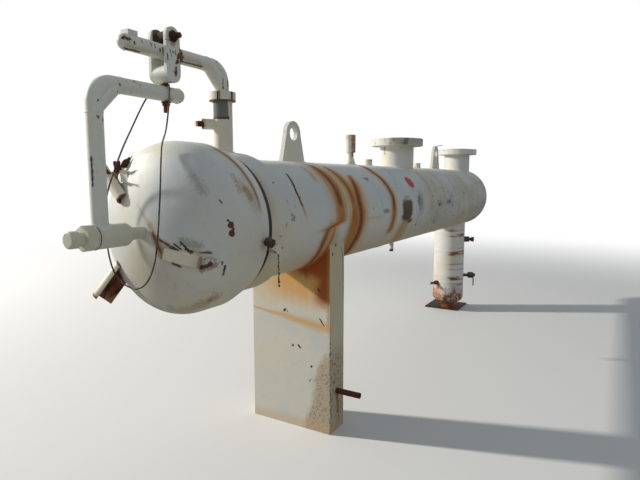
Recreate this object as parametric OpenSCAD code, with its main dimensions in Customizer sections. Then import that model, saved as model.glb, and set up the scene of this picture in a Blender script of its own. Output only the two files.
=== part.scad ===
// Horizontal process vessel on a saddle and a liquid boot, with two flanged
// nozzles on top and a dished closure head that hangs from a swinging davit.
// Millimetres. X runs along the vessel from the closure to the rear head,
// Z is up, and the origin is on the ground under the middle of the saddle.

/* [Shell] */
// Outside diameter of the shell
shell_d = 610; // [580:2:640]
// Wall thickness of the shell and the rear head
shell_t = 20; // [14:1:26]
// Height of the vessel's centre line above the ground
axis_h = 1244; // [1220:2:1300]
// Distance from the saddle to the joint of the closure
seam_x = 738; // [700:2:780]
// Distance from the saddle to the end of the straight shell
shell_back = 3470; // [3400:10:3700]
// Width of the gap in the closure's joint
seam_gap = 14; // [8:1:20]
// How far the closure ring stands proud of the shell
ring_proud = 27; // [20:1:40]
// Length of the closure ring
ring_len = 196; // [170:2:230]
// Length of the taper behind the closure ring
ring_taper = 26; // [20:1:40]
// Distance from the saddle to the first round seam of the shell
course_1_x = 950; // [700:10:1200]
// Distance from the saddle to the second round seam of the shell
course_2_x = 2250; // [2100:10:2400]

/* [Nozzles] */
// Distance from the saddle to the first nozzle
nozzle_1_x = 1518; // [1450:2:1650]
// Distance from the saddle to the second nozzle
nozzle_2_x = 3310; // [3200:2:3330]
// Height of the nozzle faces above the centre line
nozzle_h = 535; // [500:1:600]
// Outside diameter of the nozzle necks
neck_d = 273; // [260:1:280]
// Bore of the nozzles
nozzle_bore = 203; // [180:1:210]
// Outside diameter of the flanges
flange_d = 419; // [400:1:440]
// Thickness of the flanges without the raised face
flange_t = 56; // [40:1:70]
// Diameter of the raised face
face_d = 270; // [240:1:290]
// Height of the raised face
face_t = 6.5; // [2:0.5:8]
// Diameter of the flanges' bolt circle
bolt_circle = 349; // [340:1:355]
// Diameter of the flanges' bolt holes
bolt_hole = 32; // [26:1:34]
// Number of bolt holes in each flange
bolt_count = 12; // [8:4:16]

/* [Saddle] */
// Width of the saddle across the vessel
saddle_w = 532; // [480:2:560]
// Length of the saddle along the vessel
saddle_l = 165; // [140:1:220]
// Thickness of the saddle's plates
saddle_t = 12; // [8:1:16]
// Height of the drain pipe on the saddle's side
drain_h = 235; // [180:5:320]
// Outside diameter of the saddle's drain pipe
drain_d = 33; // [27:1:42]
// Length of the saddle's drain pipe
drain_l = 150; // [100:5:200]
// Wall thickness of the saddle's drain pipe
drain_t = 4; // [3:0.5:6]

/* [Boot] */
// Distance from the saddle to the boot
boot_x = 3110; // [2900:5:3150]
// Outside diameter of the boot
boot_d = 324; // [300:1:340]
// Wall thickness of the boot and its cap
boot_t = 12; // [8:1:16]
// Height of the boot cap's weld above the ground
boot_seam_h = 150; // [140:1:200]
// Outside diameter of the stub that the boot stands on
stub_d = 141; // [120:1:160]
// Wall thickness of the stub
stub_t = 8; // [5:1:10]
// Side of the square plate under the boot
plate_w = 370; // [340:5:420]
// Thickness of the plate under the boot
plate_t = 14; // [8:1:20]
// How far the plate lies towards the rear of the boot's axis
plate_shift_x = 110; // [0:5:115]
// How far the plate lies towards the far side of the boot's axis
plate_shift_y = 50; // [0:5:70]
// Height of the plug on the boot above the ground
plug_h = 790; // [760:5:820]
// Reach of the plug from the boot
plug_reach = 100; // [90:1:120]
// Outside diameter of the plug's coupling
plug_d = 60; // [50:1:66]
// Height of the gauge valve on the boot above the ground
valve_h = 380; // [350:5:420]
// Reach of the gauge valve from the boot
valve_reach = 134; // [120:1:150]
// Outside diameter of the gauge valve's body
valve_d = 66; // [56:1:74]
// Height of the nipple on the boot above the ground
nipple_h = 310; // [290:5:340]
// Reach of the nipple from the boot
nipple_reach = 90; // [70:1:110]
// Outside diameter of the pipes in the boot's fittings
fitting_pipe_d = 34; // [26:1:38]

/* [Lifting lugs] */
// Distance from the saddle to the front lifting lug, towards the closure
lug_1_x = 50; // [0:5:80]
// Distance from the saddle to the rear lifting lug
lug_2_x = 2520; // [2300:5:2600]
// Length of a lifting lug at its foot
lug_l = 228; // [200:2:260]
// Height of the eye above the shell
lug_eye_h = 155; // [130:1:180]
// Radius of a lifting lug's rounded top
lug_top_r = 70; // [60:1:80]
// Diameter of a lifting lug's eye
lug_eye_d = 76; // [60:1:90]
// Thickness of a lifting lug
lug_t = 25; // [16:1:32]

/* [Small fittings] */
// Distance from the saddle to the vent fitting
vent_x = 675; // [640:5:720]
// Diameter of the vent fitting's body
vent_d = 70; // [60:1:80]
// Height of the vent fitting above the shell
vent_h = 200; // [180:2:220]
// Length of the vent fitting's body
vent_body_h = 118; // [100:1:130]
// Diameter of the vent fitting's pipe
vent_pipe_d = 44; // [36:1:48]
// Diameter of the cone at the vent fitting's foot
vent_foot_d = 80; // [70:1:90]
// Height of the cone at the vent fitting's foot
vent_foot_h = 42; // [30:1:50]
// Distance from the saddle to the first half coupling
coupling_1_x = 963; // [900:5:1000]
// Distance from the saddle to the second half coupling
coupling_2_x = 2014; // [1950:5:2100]
// Outside diameter of the half couplings
coupling_d = 60; // [48:1:72]
// Bore of the half couplings
coupling_bore = 34; // [22:1:42]
// Height of the half couplings above the shell
coupling_h = 44; // [30:1:60]
// Distance from the saddle to the bottom drain
bottom_drain_x = 1435; // [1350:5:1550]
// Diameter of the bottom drain
bottom_drain_d = 34; // [26:1:40]
// Length of the bottom drain below the shell
bottom_drain_l = 64; // [50:1:80]
// Angle of the warning bolt's block below the closure ring's near side
warn_angle = 15; // [10:1:18]
// Length of the warning bolt's block along the ring
warn_l = 44; // [36:1:50]
// Width of the warning bolt's block and arm
warn_w = 28; // [20:1:32]
// Height of the warning bolt's block above the ring
warn_h = 40; // [39:1:46]
// Reach of the warning bolt's arm over the joint
warn_reach = 108; // [90:1:112]
// How far the warning bolt stands above its block
warn_rise = 52; // [40:1:56]
// Thickness of the warning bolt's arm
warn_t = 8; // [6:1:10]
// Diameter of the warning bolt's head
warn_d = 38; // [30:1:40]
// Height of the warning bolt's head on its arm
warn_head_h = 24; // [18:1:28]

/* [Closure head] */
// How far the head's cylinder stands proud of the shell
head_proud = 61; // [52:1:70]
// How far the head's rim at the joint stands proud of the shell
rim_proud = 39; // [34:1:44]
// Length of the taper from the joint to the cylinder
head_taper = 86; // [70:1:100]
// Length of the cylinder before the dome
head_cyl = 112; // [90:1:140]
// Wall thickness of the head
head_t = 26; // [18:1:32]
// Diameter of the head's shaft
shaft_d = 50; // [44:1:54]
// Distance from the head's crown to the sleeve
stub_l = 68; // [55:1:90]
// Outside diameter of the sleeve
sleeve_d = 89; // [84:1:100]
// Length of the sleeve
sleeve_l = 146; // [130:1:170]
// Chamfer on the sleeve's end towards the head
sleeve_chamfer = 12; // [6:1:16]
// Outside diameter of the nut on the shaft, across its flats
nut_w = 80; // [70:1:90]
// Length of the nut on the shaft
nut_l = 42; // [30:1:55]
// Diameter of the knob at the shaft's end
knob_d = 62; // [56:1:70]
// Length of the knob
knob_l = 34; // [24:1:45]
// Rounding of the knob's outer edge
knob_round = 8; // [4:1:12]
// Length of shaft that shows between the nut and the knob
shaft_show = 20; // [14:1:30]
// Width of the cut-off brackets on the head
bracket_w = 56; // [44:1:62]
// Wall thickness of the brackets
bracket_t = 8; // [5:1:10]
// Angle of the upper bracket above the far side
upper_angle = 44; // [38:1:50]
// Angle of the lower bracket below the far side
lower_angle = 40; // [34:1:44]
// Angle of the near bracket below the near side
near_angle = 30; // [26:1:34]
// How far the near bracket leans from its spoke at each end
near_lean = 6; // [3:1:8]
// Length of the near bracket's folded edges
near_fold = 34; // [28:1:38]

/* [Davit] */
// Distance of the davit post behind the closure's joint
post_back = 108; // [80:2:130]
// Outside diameter of the davit post
post_d = 89; // [84:1:100]
// Wall thickness of the davit post
post_t = 7.6; // [5:0.2:9]
// Height of the post's top above the centre line
post_h = 564; // [540:1:600]
// Outside diameter of the davit's pipes
pipe_d = 60.3; // [54:0.1:66]
// Wall thickness of the davit's pipes
pipe_t = 5.5; // [4:0.5:8]
// Length of the arm's pipe inside the post
arm_tail = 190; // [150:5:215]
// Outside diameter of the arm's collar
collar_d = 122; // [110:1:140]
// Height of the arm's collar
collar_h = 40; // [30:1:40]
// Height of the arm's centre line above the post's top
arm_h = 150; // [140:1:180]
// Reach of the arm from the post's axis to its round end
arm_reach = 566; // [520:2:620]
// Length that the bent corners of the davit's pipes cut off each leg
elbow_cut = 92; // [80:1:110]
// Radius of each short bend in the davit's pipes
bend_r = 42; // [36:1:60]
// Distance from the post's axis to the trolley at rest
trolley_x = 345; // [330:1:360]
// Distance from the arm's round end to the stop's front
stop_back = 30; // [20:1:50]
// Length of the stop on the arm
stop_l = 44; // [36:1:50]
// Width of the stop
stop_w = 40; // [30:1:46]
// Height of the stop above the arm
stop_h = 14; // [8:1:20]
// Distance of the lock bolt below the post's top
lock_drop = 106; // [90:1:120]
// Outside diameter of the lock bolt's boss
lock_boss_d = 48; // [40:1:54]
// Length of the lock bolt's boss from the post
lock_boss_l = 52; // [44:1:60]
// Diameter of the lock bolt
lock_d = 24; // [18:1:28]
// Length of the lock bolt beyond its boss
lock_l = 34; // [26:1:44]
// Width of the trolley's side plates
cheek_w = 74; // [66:1:84]
// Thickness of the trolley's side plates
cheek_t = 14; // [8:1:18]
// Clear width between the trolley's side plates
cheek_gap = 72; // [68:1:84]
// Diameter of the trolley's roller
roller_d = 50; // [42:1:60]
// Diameter of the trolley's bolts
pin_d = 20; // [16:1:24]
// Width of the bolts' heads and nuts across their flats
pin_head_w = 29; // [26:1:34]
// Height of the bolts' heads and nuts
pin_head_l = 16; // [12:1:20]
// Length of a bolt's free end
pin_end = 28; // [20:1:34]
// Outside diameter of the trolley's cross tube
tube_d = 73; // [66:1:80]
// Wall thickness of the trolley's cross tube
tube_t = 7; // [5:1:9]
// Distance from the arm's centre line down to the cross tube's
tube_drop = 86; // [80:1:100]
// Clear height between the trolley and the hanger
hanger_gap = 10; // [8:1:16]
// Distance from the swivel bolt to the hanger's round end
hanger_tail = 92; // [70:1:110]
// Distance from the swivel bolt to the hanger's vertical leg
hanger_reach = 335; // [320:1:350]

/* [Wire sling] */
// Diameter of the wire sling
wire_d = 7; // [5:0.5:8]

/* [Hidden] */

$fn = 64;
seat = 0.3;      // clearance where one curved face sits on another
run = 0.25;      // radial clearance of a bolt in its hole
eps = 1;         // overlap of a cut beyond the face it goes through
bend_swell = 0.6; // how far the pipes' bends stand proud of their straight legs

shell_r = shell_d / 2;
shell_bore = shell_d - 2 * shell_t;
ring_r = shell_r + ring_proud;
ring_front = -seam_x + seam_gap / 2;
shell_front = ring_front + ring_len;
joint_x = -seam_x - seam_gap / 2;
head_r = shell_r + head_proud;
rim_r = shell_r + rim_proud;
dome_start = joint_x - head_taper - head_cyl;
dome_depth = dish_depth(head_r);
crown_x = dome_start - dome_depth;
post_x = ring_front + post_back - seam_gap / 2;
post_top = axis_h + post_h;
arm_z = post_top + arm_h;
pipe_r = pipe_d / 2;
bend_cut = bend_r * tan(22.5);
bolt_x = post_x - trolley_x;
roller_z = arm_z + pipe_r + seat + roller_d / 2;
tube_z = arm_z - tube_drop;
cheek_bottom = tube_z - cheek_w / 2;
hanger_z = cheek_bottom - hanger_gap - pipe_r;
hanger_x = bolt_x - hanger_reach;
sleeve_back = crown_x - stub_l;
sleeve_front = sleeve_back - sleeve_l;
washer_l = 6;    // round washer between the sleeve and the nut
nut_front = sleeve_front - washer_l - nut_l;
shaft_front = nut_front - shaft_show;
nozzle_face = axis_h + nozzle_h;
neck_top = nozzle_face - face_t - flange_t;
shell_top = axis_h + shell_r;
shell_bottom = axis_h - shell_r;

paint = [0.87, 0.86, 0.80];
rust = [0.45, 0.24, 0.13];
steel = [0.40, 0.38, 0.36];

// Turns what stands along Z so that it runs along X from x, on the vessel's centre line
module on_axis(x) {
    translate([x, 0, axis_h]) rotate([0, 90, 0]) children();
}

// The shell's outer cylinder with the seat clearance, to fit pieces on it
module shell_cutter(r = shell_r) {
    over = 400;
    on_axis(shell_front - over) cylinder(r = r + seat, h = shell_back - shell_front + 2 * over);
}

// A dished end has a knuckle of 0.34 and a crown of 1.8 times its own radius
function dish_depth(ro) = ro * (1.8 - sqrt(pow(1.8 - 0.34, 2) - pow(1 - 0.34, 2)));

// Half of a dished end's outline for the radius ro
module dish_outline(ro) {
    rk = 0.34 * ro;
    rc = 1.8 * ro;
    depth = dish_depth(ro);
    zc = depth - rc;
    k = rc / (rc - rk);
    touch = [(ro - rk) * k, zc + (0 - zc) * k];
    intersection() {
        translate([0, zc]) circle(r = rc);
        polygon([[0, 0], [0, depth + 1], [touch[0], depth + 1], touch, [ro - rk, 0]]);
    }
    intersection() {
        translate([ro - rk, 0]) circle(r = rk);
        polygon([[ro - rk, 0], touch, [touch[0], ro], [2 * ro, ro], [2 * ro, 0]]);
    }
}

// A dished end standing on z = 0 with its crown up
module dish(ro) {
    rotate_extrude() dish_outline(ro);
}

// A ring of holes for a flange
module bolt_ring(circle_d, hole_d, count, h) {
    for (i = [0 : count - 1])
        rotate([0, 0, (i + 0.5) * 360 / count])
            translate([circle_d / 2, 0, -eps]) cylinder(d = hole_d, h = h + 2 * eps);
}

// A pipe of diameter d that starts up Z and turns by 45 degrees towards -X after each leg
// but the last, which ends in a half ball. Its bends are a little thicker, as fittings are.
module pipe_run(legs, d, i = 0) {
    lap = i == 0 ? 0 : eps;
    if (i == len(legs) - 1) {
        translate([0, 0, -lap]) cylinder(d = d, h = legs[i] + lap);
        translate([0, 0, legs[i]]) rotate_extrude() intersection() {
            circle(d = d);
            square(d);
        }
    } else {
        translate([0, 0, -lap]) cylinder(d = d, h = legs[i] + lap + eps);
        translate([0, 0, legs[i]]) {
            translate([-bend_r, 0, 0]) rotate([90, 0, 0]) rotate_extrude(angle = 45)
                translate([bend_r, 0]) circle(d = d + 2 * bend_swell);
            translate([bend_r * (cos(45) - 1), 0, bend_r * sin(45)]) rotate([0, -45, 0])
                pipe_run(legs, d, i + 1);
        }
    }
}

// A hollow davit pipe with two short bends: rise is up to the corner, reach is from it to the round end
module davit_pipe(rise, reach) {
    legs = [rise - elbow_cut - bend_cut, elbow_cut * sqrt(2) - 2 * bend_cut,
            reach - pipe_r - elbow_cut - bend_cut];
    bore_legs = [legs[0] + eps, legs[1], legs[2]];
    difference() {
        pipe_run(legs, pipe_d);
        translate([0, 0, -eps]) pipe_run(bore_legs, pipe_d - 2 * pipe_t);
    }
}

// One course of the shell from x1 to x2, with the holes for the nozzles and the boot
module shell_course(x1, x2) {
    color(paint) difference() {
        on_axis(x1) cylinder(d = shell_d, h = x2 - x1);
        on_axis(x1 - eps) cylinder(d = shell_bore, h = x2 - x1 + 2 * eps);
        for (x = [nozzle_1_x, nozzle_2_x]) if (x > x1 && x < x2)
            translate([x, 0, axis_h]) cylinder(d = nozzle_bore, h = nozzle_h);
        if (boot_x > x1 && boot_x < x2)
            translate([boot_x, 0, axis_h - shell_d]) cylinder(d = boot_d - 2 * boot_t, h = shell_d);
    }
}

module closure_ring() {
    color(paint) on_axis(ring_front) rotate_extrude()
        polygon([[shell_bore / 2, 0], [ring_r, 0], [ring_r, ring_len - ring_taper],
                 [shell_r, ring_len], [shell_bore / 2, ring_len]]);
}

module rear_head() {
    color(paint) on_axis(shell_back) difference() {
        dish(shell_r);
        translate([0, 0, -0.01]) dish(shell_r - shell_t);
    }
}

module nozzle_neck(x) {
    color(paint) difference() {
        translate([x, 0, axis_h]) cylinder(d = neck_d, h = neck_top - axis_h);
        translate([x, 0, axis_h - eps]) cylinder(d = nozzle_bore, h = nozzle_h);
        shell_cutter();
    }
}

module nozzle_flange(x) {
    color(paint) translate([x, 0, neck_top]) difference() {
        union() {
            cylinder(d = flange_d, h = flange_t);
            cylinder(d = face_d, h = flange_t + face_t);
        }
        translate([0, 0, -eps]) cylinder(d = nozzle_bore, h = flange_t + face_t + 2 * eps);
        bolt_ring(bolt_circle, bolt_hole, bolt_count, flange_t);
    }
}

module saddle_base() {
    color(paint) translate([-saddle_l / 2, -saddle_w / 2, 0]) cube([saddle_l, saddle_w, saddle_t]);
}

// One web of the saddle, cut to the shell
module saddle_web(x) {
    color(paint) difference() {
        translate([x, -saddle_w / 2, saddle_t]) cube([saddle_t, saddle_w, axis_h]);
        shell_cutter();
    }
}

// One side of the saddle between the webs
module saddle_side(side) {
    inner = saddle_l - 2 * saddle_t;
    y = side > 0 ? saddle_w / 2 - saddle_t : -saddle_w / 2;
    color(paint) difference() {
        translate([-inner / 2, y, saddle_t]) cube([inner, saddle_t, axis_h]);
        shell_cutter();
    }
}

module saddle_drain() {
    color(rust) translate([0, -saddle_w / 2, drain_h]) rotate([90, 0, 0]) difference() {
        cylinder(d = drain_d, h = drain_l);
        translate([0, 0, eps]) cylinder(d = drain_d - 2 * drain_t, h = drain_l);
    }
}

module boot_pipe() {
    color(paint) difference() {
        translate([boot_x, 0, boot_seam_h]) cylinder(d = boot_d, h = axis_h - boot_seam_h);
        translate([boot_x, 0, boot_seam_h - eps]) cylinder(d = boot_d - 2 * boot_t, h = axis_h);
        shell_cutter();
    }
}

module boot_cap() {
    color(paint) translate([boot_x, 0, boot_seam_h]) mirror([0, 0, 1]) difference() {
        dish(boot_d / 2);
        translate([0, 0, -0.01]) dish(boot_d / 2 - boot_t);
    }
}

module boot_stub() {
    color(rust) difference() {
        translate([boot_x, 0, plate_t]) cylinder(d = stub_d, h = boot_seam_h - plate_t - 2 * stub_t);
        translate([boot_x, 0, plate_t - eps]) cylinder(d = stub_d - 2 * stub_t, h = boot_seam_h);
        translate([boot_x, 0, boot_seam_h - seat]) mirror([0, 0, 1]) dish(boot_d / 2);
    }
}

module boot_base_plate() {
    color(rust) translate([boot_x + plate_shift_x - plate_w / 2, plate_shift_y - plate_w / 2, 0])
        cube([plate_w, plate_w, plate_t]);
}

// A fitting that stands on the boot's side, turned to angle a, at height z
module on_boot(a, z) {
    difference() {
        translate([boot_x, 0, z]) rotate([0, 0, a]) rotate([0, 90, 0]) children();
        translate([boot_x, 0, z - boot_d / 2]) cylinder(d = boot_d + 2 * seat, h = boot_d);
    }
}

module boot_plug() {
    hex_l = 30;
    color(rust) on_boot(-75, plug_h) {
        cylinder(d = plug_d, h = boot_d / 2 + plug_reach / 2);
        cylinder(d = fitting_pipe_d, h = boot_d / 2 + plug_reach);
        translate([0, 0, boot_d / 2 + plug_reach - hex_l])
            cylinder(d = plug_d - 8, h = hex_l, $fn = 6);
    }
}

module boot_valve() {
    body_l = 50;
    hex_l = 24;
    color(steel) on_boot(-60, valve_h) {
        cylinder(d = fitting_pipe_d, h = boot_d / 2 + valve_reach - body_l - hex_l);
        translate([0, 0, boot_d / 2 + valve_reach - body_l - hex_l]) cylinder(d = valve_d, h = body_l);
        translate([0, 0, boot_d / 2 + valve_reach - hex_l])
            cylinder(d = fitting_pipe_d + 6, h = hex_l, $fn = 6);
    }
}

module boot_nipple() {
    color(rust) on_boot(150, nipple_h) {
        cylinder(d = fitting_pipe_d + 14, h = boot_d / 2 + nipple_reach / 3);
        cylinder(d = fitting_pipe_d - 7, h = boot_d / 2 + nipple_reach);
    }
}

// A lifting lug: a tapered plate with a rounded top and an eye
module lifting_lug(x) {
    eye_z = shell_top + lug_eye_h;
    color(paint) difference() {
        translate([x, lug_t / 2, 0]) rotate([90, 0, 0]) linear_extrude(lug_t) difference() {
            union() {
                translate([0, eye_z]) circle(r = lug_top_r);
                polygon([[-lug_l / 2, shell_top - 5], [lug_l / 2, shell_top - 5],
                         [lug_top_r, eye_z], [-lug_top_r, eye_z]]);
            }
            translate([0, eye_z]) circle(d = lug_eye_d);
        }
        shell_cutter();
    }
}

module vent_fitting() {
    lap = 10;
    color(paint) translate([vent_x, 0, 0]) difference() {
        union() {
            translate([0, 0, axis_h]) cylinder(d = vent_pipe_d, h = shell_r + vent_h - vent_body_h);
            translate([0, 0, shell_top - lap])
                cylinder(d1 = vent_foot_d, d2 = vent_pipe_d + 4, h = vent_foot_h + lap);
            translate([0, 0, shell_top + vent_h - vent_body_h]) cylinder(d = vent_d, h = vent_body_h);
        }
        translate([-vent_x, 0, 0]) shell_cutter();
    }
}

module half_couplings() {
    color(paint) for (x = [coupling_1_x, coupling_2_x]) difference() {
        translate([x, 0, axis_h]) cylinder(d = coupling_d, h = shell_r + coupling_h);
        translate([x, 0, shell_top + coupling_h / 5]) cylinder(d = coupling_bore, h = coupling_h);
        shell_cutter();
    }
}

module bottom_drain() {
    color(paint) difference() {
        translate([bottom_drain_x, 0, shell_bottom - bottom_drain_l])
            cylinder(d = bottom_drain_d, h = shell_r);
        shell_cutter();
    }
}

// The block on the closure ring whose warning bolt stands over the joint on the near side
module joint_lug() {
    foot = 10;    // from the ring's front face to the block
    base = ring_r + warn_h;
    color(rust) difference() {
        translate([ring_front + foot + warn_l / 2, 0, axis_h]) rotate([90 + warn_angle, 0, 0]) {
            translate([-warn_l / 2, -warn_w / 2, 0]) cube([warn_l, warn_w, base + warn_t]);
            rotate([0, 0, 180 - atan(warn_rise / warn_reach)])
                translate([0, -warn_w / 2, base]) cube([norm([warn_reach, warn_rise]), warn_w, warn_t]);
            translate([-warn_reach, warn_rise, base]) cylinder(d = warn_d, h = warn_t + warn_head_h);
        }
        on_axis(ring_front - 2 * eps) cylinder(r = ring_r + seat, h = ring_len);
    }
}

module davit_post() {
    color(paint) difference() {
        translate([post_x, 0, axis_h]) cylinder(d = post_d, h = post_h);
        translate([post_x, 0, axis_h - eps]) cylinder(d = post_d - 2 * post_t, h = post_h + 2 * eps);
        shell_cutter(ring_r);
    }
}

module lock_bolt() {
    color(rust) difference() {
        translate([post_x, 0, post_top - lock_drop]) rotate([0, 0, 150]) rotate([0, 90, 0]) {
            cylinder(d = lock_boss_d, h = post_d / 2 + lock_boss_l);
            cylinder(d = lock_d, h = post_d / 2 + lock_boss_l + lock_l);
        }
        translate([post_x, 0, post_top - 2 * lock_drop])
            cylinder(d = post_d + 2 * seat, h = 2 * lock_drop);
    }
}

module davit_arm() {
    color(paint) translate([post_x, 0, post_top - arm_tail]) davit_pipe(arm_tail + arm_h, arm_reach);
}

module arm_collar() {
    color(paint) translate([post_x, 0, post_top + seat]) difference() {
        cylinder(d = collar_d, h = collar_h);
        translate([0, 0, -eps]) cylinder(d = pipe_d + 2 * seat, h = collar_h + 2 * eps);
    }
}

module arm_stop() {
    color(paint) difference() {
        translate([post_x - arm_reach + stop_back, -stop_w / 2, arm_z])
            cube([stop_l, stop_w, pipe_r + stop_h]);
        translate([post_x - arm_reach, 0, arm_z]) rotate([0, 90, 0])
            cylinder(r = pipe_r + seat, h = arm_reach);
    }
}

// One side plate of the trolley, round at both ends
module trolley_cheek(y) {
    color(paint) translate([bolt_x, y, 0]) rotate([90, 0, 0]) linear_extrude(cheek_t) difference() {
        union() {
            translate([0, roller_z]) circle(d = cheek_w);
            translate([0, tube_z]) circle(d = cheek_w);
            translate([-cheek_w / 2, tube_z]) square([cheek_w, roller_z - tube_z]);
        }
        translate([0, roller_z]) circle(d = pin_d + 2 * run);
    }
}

module trolley_roller() {
    side_gap = 2;
    len = cheek_gap - 2 * side_gap;
    color(rust) translate([bolt_x, len / 2, roller_z]) rotate([90, 0, 0]) difference() {
        cylinder(d = roller_d, h = len);
        translate([0, 0, -eps]) cylinder(d = pin_d + 2 * run, h = len + 2 * eps);
    }
}

// The head or the nut of a trolley bolt
module bolt_hex() {
    cylinder(d = pin_head_w / cos(30), h = pin_head_l, $fn = 6);
}

module roller_bolt() {
    grip = cheek_gap + 2 * cheek_t;
    color(rust) translate([bolt_x, grip / 2, roller_z]) rotate([90, 0, 0]) {
        translate([0, 0, -pin_head_l]) bolt_hex();
        cylinder(d = pin_d, h = grip + pin_end);
        translate([0, 0, grip]) bolt_hex();
    }
}

module cross_tube() {
    color(paint) difference() {
        translate([bolt_x, cheek_gap / 2, tube_z]) rotate([90, 0, 0]) cylinder(d = tube_d, h = cheek_gap);
        translate([bolt_x, cheek_gap / 2 + eps, tube_z]) rotate([90, 0, 0])
            cylinder(d = tube_d - 2 * tube_t, h = cheek_gap + 2 * eps);
        translate([bolt_x, 0, tube_z - tube_d]) cylinder(d = pin_d + 2 * run, h = tube_d);
    }
}

// The bolt that the hanger turns on: its head inside the cross tube, its nut under the hanger
module swivel_bolt() {
    top = tube_z - tube_d / 2 + tube_t + 5;
    bottom = hanger_z - pipe_r - seat;
    color(rust) translate([bolt_x, 0, 0]) {
        translate([0, 0, top]) cylinder(d = pin_head_w, h = pin_head_l);
        translate([0, 0, bottom - pin_head_l - pin_end])
            cylinder(d = pin_d, h = top - bottom + pin_head_l + pin_end);
        translate([0, 0, bottom - pin_head_l]) bolt_hex();
    }
}

module hanger_arm() {
    color(paint) difference() {
        translate([hanger_x, 0, axis_h]) mirror([1, 0, 0])
            davit_pipe(hanger_z - axis_h, hanger_reach + hanger_tail);
        translate([bolt_x, 0, hanger_z - pipe_d]) cylinder(d = pin_d + 2 * run, h = 2 * pipe_d);
        on_axis(sleeve_front - eps) cylinder(d = sleeve_d + 2 * seat, h = sleeve_l + 2 * eps);
    }
}

module hanger_sleeve() {
    color(paint) on_axis(sleeve_front) difference() {
        union() {
            cylinder(d = sleeve_d, h = sleeve_l - sleeve_chamfer);
            translate([0, 0, sleeve_l - sleeve_chamfer])
                cylinder(d1 = sleeve_d, d2 = sleeve_d - 1.2 * sleeve_chamfer, h = sleeve_chamfer);
        }
        translate([0, 0, -eps]) cylinder(d = shaft_d + 2 * run, h = sleeve_l + 2 * eps);
    }
}

module closure_head() {
    inner_r = head_r - head_t;
    color(paint) difference() {
        union() {
            on_axis(dome_start) cylinder(r = head_r, h = head_cyl);
            on_axis(dome_start + head_cyl) cylinder(r1 = head_r, r2 = rim_r, h = head_taper);
            translate([dome_start, 0, axis_h]) rotate([0, -90, 0]) dish(head_r);
        }
        on_axis(dome_start + head_cyl) cylinder(d = shell_bore, h = head_taper + eps);
        on_axis(dome_start + 0.01) cylinder(r1 = inner_r, r2 = shell_bore / 2, h = head_cyl);
        translate([dome_start + 0.02, 0, axis_h]) rotate([0, -90, 0]) dish(inner_r);
    }
}

module head_shaft() {
    color(paint) on_axis(shaft_front) cylinder(d = shaft_d, h = crown_x - shaft_front);
}

module shaft_nut() {
    color(paint) on_axis(nut_front) difference() {
        union() {
            cylinder(d = nut_w / cos(30), h = nut_l, $fn = 6);
            translate([0, 0, nut_l]) cylinder(d = sleeve_d, h = washer_l - seat);
        }
        translate([0, 0, -eps]) cylinder(d = shaft_d + 2 * run, h = nut_l + washer_l + 2 * eps);
    }
}

// The knob at the shaft's end, rounded at its front
module shaft_knob() {
    flat_r = knob_d / 2 - knob_round;
    color(paint) on_axis(shaft_front) mirror([0, 0, 1]) rotate_extrude() {
        square([flat_r, knob_l]);
        square([knob_d / 2, knob_l - knob_round]);
        intersection() {
            translate([flat_r, knob_l - knob_round]) circle(r = knob_round);
            translate([flat_r, knob_l - knob_round]) square(knob_round);
        }
    }
}

// Stands children() along the line from p1 to p2 on the head and cuts the head's shape off them
module on_head(p1, p2) {
    v = p2 - p1;
    difference() {
        translate(p1) rotate([0, acos(v[2] / norm(v)), atan2(v[1], v[0])]) children();
        translate([dome_start, 0, axis_h]) rotate([0, -90, 0]) dish(head_r + seat, $fn = 256);
        on_axis(dome_start) cylinder(r = head_r + seat, h = head_cyl, $fn = 256);
    }
}

// A point before the dome at a share r of the head's radius, an angle a from the far side
// and a share f of the dome's depth
function by_dome(a, r, f) =
    [dome_start - f * dome_depth, r * head_r * cos(a), axis_h + r * head_r * sin(a)];

// The folded strip of the upper and the lower bracket: a round front and one edge towards the dome
module trough(edge, h) {
    step = 0.5;
    lap = 3;
    difference() {
        cylinder(d = bracket_w, h = h);
        translate([0, 0, -eps]) cylinder(d = bracket_w - 2 * bracket_t, h = h + 2 * eps);
        translate([0, -bracket_w, -eps]) cube([bracket_w, 2 * bracket_w, h + 2 * eps]);
    }
    translate([-lap, bracket_w / 2 - bracket_t + step, 0]) cube([edge + lap, bracket_t - 2 * step, h]);
}

module head_bracket_upper() {
    p1 = by_dome(upper_angle, 0.5, 0.85);
    p2 = by_dome(upper_angle, 1, 0.8);
    color(paint) on_head(p1, p2) rotate([0, 0, -90]) trough(2 * bracket_w, norm(p2 - p1));
}

module head_bracket_lower() {
    p1 = by_dome(4 - lower_angle, 0.72, 0.6);
    p2 = by_dome(-lower_angle - 5, 1.16, 0.95);
    color(paint) on_head(p1, p2) mirror([0, 1, 0]) trough(bracket_w, norm(p2 - p1));
}

module head_bracket_near() {
    p1 = by_dome(180 + near_angle + near_lean, 0.37, 0.97);
    p2 = by_dome(180 + near_angle - near_lean, 0.76, 0.67);
    h = norm(p2 - p1);
    color(paint) on_head(p1, p2) translate([-bracket_w / 2, -near_fold / 2, 0]) difference() {
        cube([0.8 * bracket_w, near_fold, h]);
        translate([bracket_t, bracket_t, -eps]) cube([bracket_w, near_fold, h + 2 * eps]);
    }
}

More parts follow.
